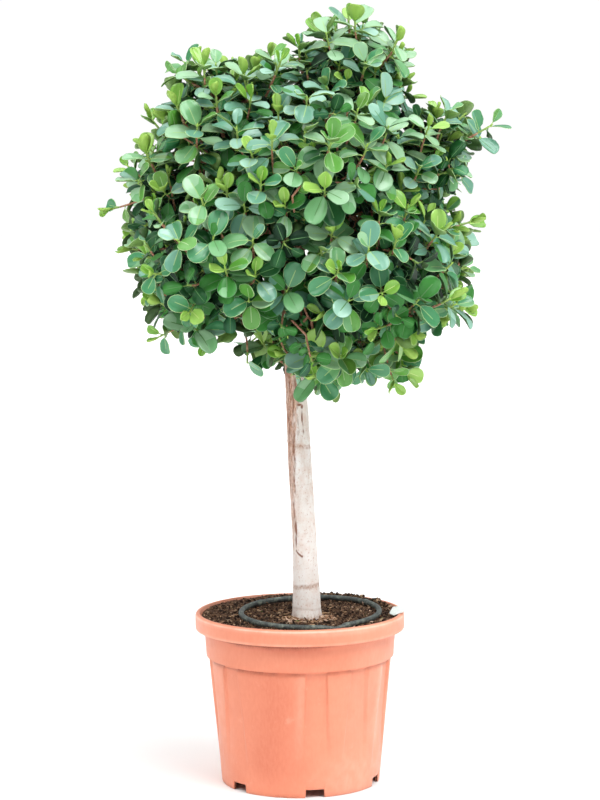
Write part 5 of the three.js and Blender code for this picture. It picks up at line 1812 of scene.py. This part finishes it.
                # Each quarter of the blade gets a painted highlight colour the more squarely it faces the light
                level = []
                for way, u in ((-1, 0.22), (1, 0.22), (-1, 0.74), (1, 0.74)):
                    face = unit(n2 * math.cos(curl * u) + d2 * math.sin(curl * u) - s2 * way * (fold + cup))
                    lit = shine + float(np.dot(face, LIGHT)) + 0.05 * g.normal()
                    level.append(2 if lit > 1.05 else 1 if lit > 0.81 else 0)
                # Foot and tip of a side differ by one step at most, and not on a dark leaf
                for q in (0, 1):
                    if abs(level[q] - level[q + 2]) == 2:
                        level[q] = level[q + 2] = 1
                    elif blade in (0, 1, TEAL):
                        level[q] = level[q + 2] = min(level[q], level[q + 2])
                tones = (blade, PAINTED_GLOSS_COOL if blue else PAINTED_GLOSS, PAINTED_HIGHLIGHT_COOL if blue else PAINTED_HIGHLIGHT)
                quarters = [tones[q] for q in level]
            if quarters is None:
                quarters = [blade] * 4
            rows.append((*blade_at, *d2, *s2, *n2, long, wide, g.uniform(0.50, 0.76) + 0.1 * young, fold,
                         cup, curl, g.normal() * 0.16, g.uniform(0.2, 1.4),
                         g.random() * 6.28, blade, young, s.mass, *at, 1.0 if (s.order == 0 and j < 8) else 0.0, *t,
                         {"feature": 0.0, "sprig": 0.0, "inner": 9.0}.get(s.kind, 4.0 if deep else 1.5) + 0.5 * j + 1.2 * g.random(), loose,
                         which, back, *quarters))
    R = np.array(rows)
    R = keep_apart(R)
    keep = ~in_gap(R[:, 0:3] + R[:, 3:6] * R[:, 12:13] * 0.5)
    ends = R[:, 0:3] + R[:, 3:6] * R[:, 12:13] * 0.92
    keep &= ~beyond(ends, 9.0) | ((R[:, 32] > 0.5) & ~beyond(ends, 20.0)) | (R[:, 32] > 0.9)
    R = R[keep]
    leaf = dict(at=R[:, 0:3], along=R[:, 3:6], side=R[:, 6:9], up=R[:, 9:12], long=R[:, 12], wide=R[:, 13], obovate=R[:, 14], fold=R[:, 15],
                cup=R[:, 16], curl=R[:, 17], twist=R[:, 18], ripple=R[:, 19], phase=R[:, 20], blade=R[:, 21].astype(int), young=R[:, 22],
                mass=R[:, 23].astype(int), foot=R[:, 24:27], fine=R[:, 27] > 0.5, shoot=R[:, 33].astype(int), back=R[:, 34],
                quarters=R[:, 35:39].astype(int))
    return leaf


def trim_shoots(shoots, curves, leaf):
    """Cuts each shoot back to its outermost leaf; one that keeps no leaf is left out."""
    kept, cut = [], []
    for i, (s, curve) in enumerate(zip(shoots, curves)):
        backs = leaf["back"][leaf["shoot"] == i]
        if not len(backs):
            continue
        off = backs.min() - 1.5
        if off > 4:
            cum = np.concatenate([[0], np.cumsum(np.linalg.norm(np.diff(curve, axis=0), axis=1))])
            t = np.linspace(0, max(cum[-1] - off, 12), len(curve))
            curve = np.stack([np.interp(t, cum, curve[:, q]) for q in range(3)], 1)
        kept.append(s)
        cut.append(curve)
    return kept, cut


def lay_buds(shoots, curves):
    g = np.random.default_rng(515)
    out = []
    for s, curve in zip(shoots, curves):
        if s.kind != "inner" or g.random() < 0.3:
            out.append((*curve[-1], *unit(curve[-1] - curve[-2]), g.uniform(8, 18) if s.grows else g.uniform(5, 9), s.mass))
    return np.array(out)


def stalk_mesh(leaf, sides, first):
    """Stalks: short bent tubes from the twig to each blade."""
    n = len(leaf["long"])
    p0, p1 = leaf["foot"], leaf["at"] + leaf["along"] * 1.6
    mid = (p0 + p1) / 2 + leaf["up"] * 0.9
    P = np.stack([p0, mid, p1], 1)
    ang = np.arange(sides) / sides * 2 * math.pi
    r = np.array([1.25, 0.95, 0.9])[None, :, None, None]
    ring = np.cos(ang)[None, None, :, None] * leaf["side"][:, None, None] + np.sin(ang)[None, None, :, None] * leaf["up"][:, None, None]
    v = P[:, :, None] + ring * r
    faces = grid_faces(3, sides, True)
    faces = (faces[None] + (np.arange(n) * 3 * sides)[:, None, None]).reshape(-1, 4) + first
    return v.reshape(-1, 3), faces


def build_leaves(leaf, buds, mass, materials):
    verts, faces, n = [], [], 0
    for fine in (True, False):
        sel = (leaf["mass"] == mass) & (leaf["fine"] == fine)
        part = {k: v[sel] for k, v in leaf.items()}
        m = int(sel.sum())
        if not m:
            continue
        tp, tris, tri_role, quads, quad_role = leaf_template(fine)
        v = leaf_points(tp, part)
        young = part["young"] > 0.55
        dark = (part["blade"] < 3) | (part["blade"] == TEAL)
        slots = np.stack([part["quarters"][:, 0], np.where(young, RIB_NEW, np.where(dark, RIB_DARK, RIB)),
                          np.where(young, part["blade"], np.where(dark, MARGIN_DARK, MARGIN)), np.where(young, UNDER_NEW, np.where(dark, UNDER_DARK, UNDER)),
                          part["quarters"][:, 1], part["quarters"][:, 2], part["quarters"][:, 3]], 1)
        pattern = (part["phase"] * 100).astype(int) % 4
        off = (np.arange(m) * len(tp))[:, None, None] + n
        verts.append(v.reshape(-1, 3))
        faces.append(((tris[None] + off).reshape(-1, 3), np.take_along_axis(slots, tri_role[pattern], 1).reshape(-1)))
        faces.append(((quads[None] + off).reshape(-1, 4), np.take_along_axis(slots, quad_role[pattern], 1).reshape(-1)))
        n += m * len(tp)
        sv, sf = stalk_mesh(part, 4 if fine else 3, n)
        verts.append(sv)
        faces.append((sf, np.repeat(np.where(dark, STALK_DARK, STALK), len(sf) // m)))
        n += len(sv)
    own = buds[buds[:, 7] == mass]
    if len(own):
        p, t, long = own[:, 0:3], own[:, 3:6], own[:, 6]
        a = unit(np.cross(t, np.array([0.3, 0.9, 0.2])))
        b = np.cross(t, a)
        ang = np.arange(5) / 5 * 2 * math.pi
        ring = np.cos(ang)[None, :, None] * a[:, None] + np.sin(ang)[None, :, None] * b[:, None]
        levels = [p[:, None] + t[:, None] * (long * h)[:, None, None] + ring * rr for h, rr in ((-0.1, 1.1), (0.25, 1.75), (0.65, 1.15))]
        v = np.concatenate(levels + [(p + t * long[:, None])[:, None], (p - t * 1.5)[:, None]], 1)
        q = grid_faces(3, 5, True)
        k = np.arange(5)
        tr = np.concatenate([np.stack([10 + k, 10 + (k + 1) % 5, np.full(5, 15)], 1), np.stack([(k + 1) % 5, k, np.full(5, 16)], 1)])
        off = (np.arange(len(own)) * 17)[:, None, None] + n
        verts.append(v.reshape(-1, 3))
        faces.append(((q[None] + off).reshape(-1, 4), BUD))
        faces.append(((tr[None] + off).reshape(-1, 3), BUD))
        n += len(own) * 17
    return mesh_object("leaves_" + MASSES[mass], np.concatenate(verts) * MM, faces, materials)


shoots = make_shoots() + sprig_shoots()
curve_rng = np.random.default_rng(606)
curves = [shoot_curve(s, curve_rng) for s in shoots]
leaf = lay_leaves(shoots, curves)
shoots, curves = trim_shoots(shoots, curves, leaf)
buds = lay_buds(shoots, curves)
twig_tubes = grow_twigs(shoots, curves)
twigs = twig_tubes.build("twigs", [TWIG, principled("twig_green", srgb(138, 168, 84), rough=0.55, spec=0.4)])
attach(twigs, "root")

LEAF_MATERIALS = leaf_materials()
for k, m in enumerate(MASSES):
    ob = build_leaves(leaf, buds, k, LEAF_MATERIALS)
    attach(ob, "root")
    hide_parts("mass_" + m)
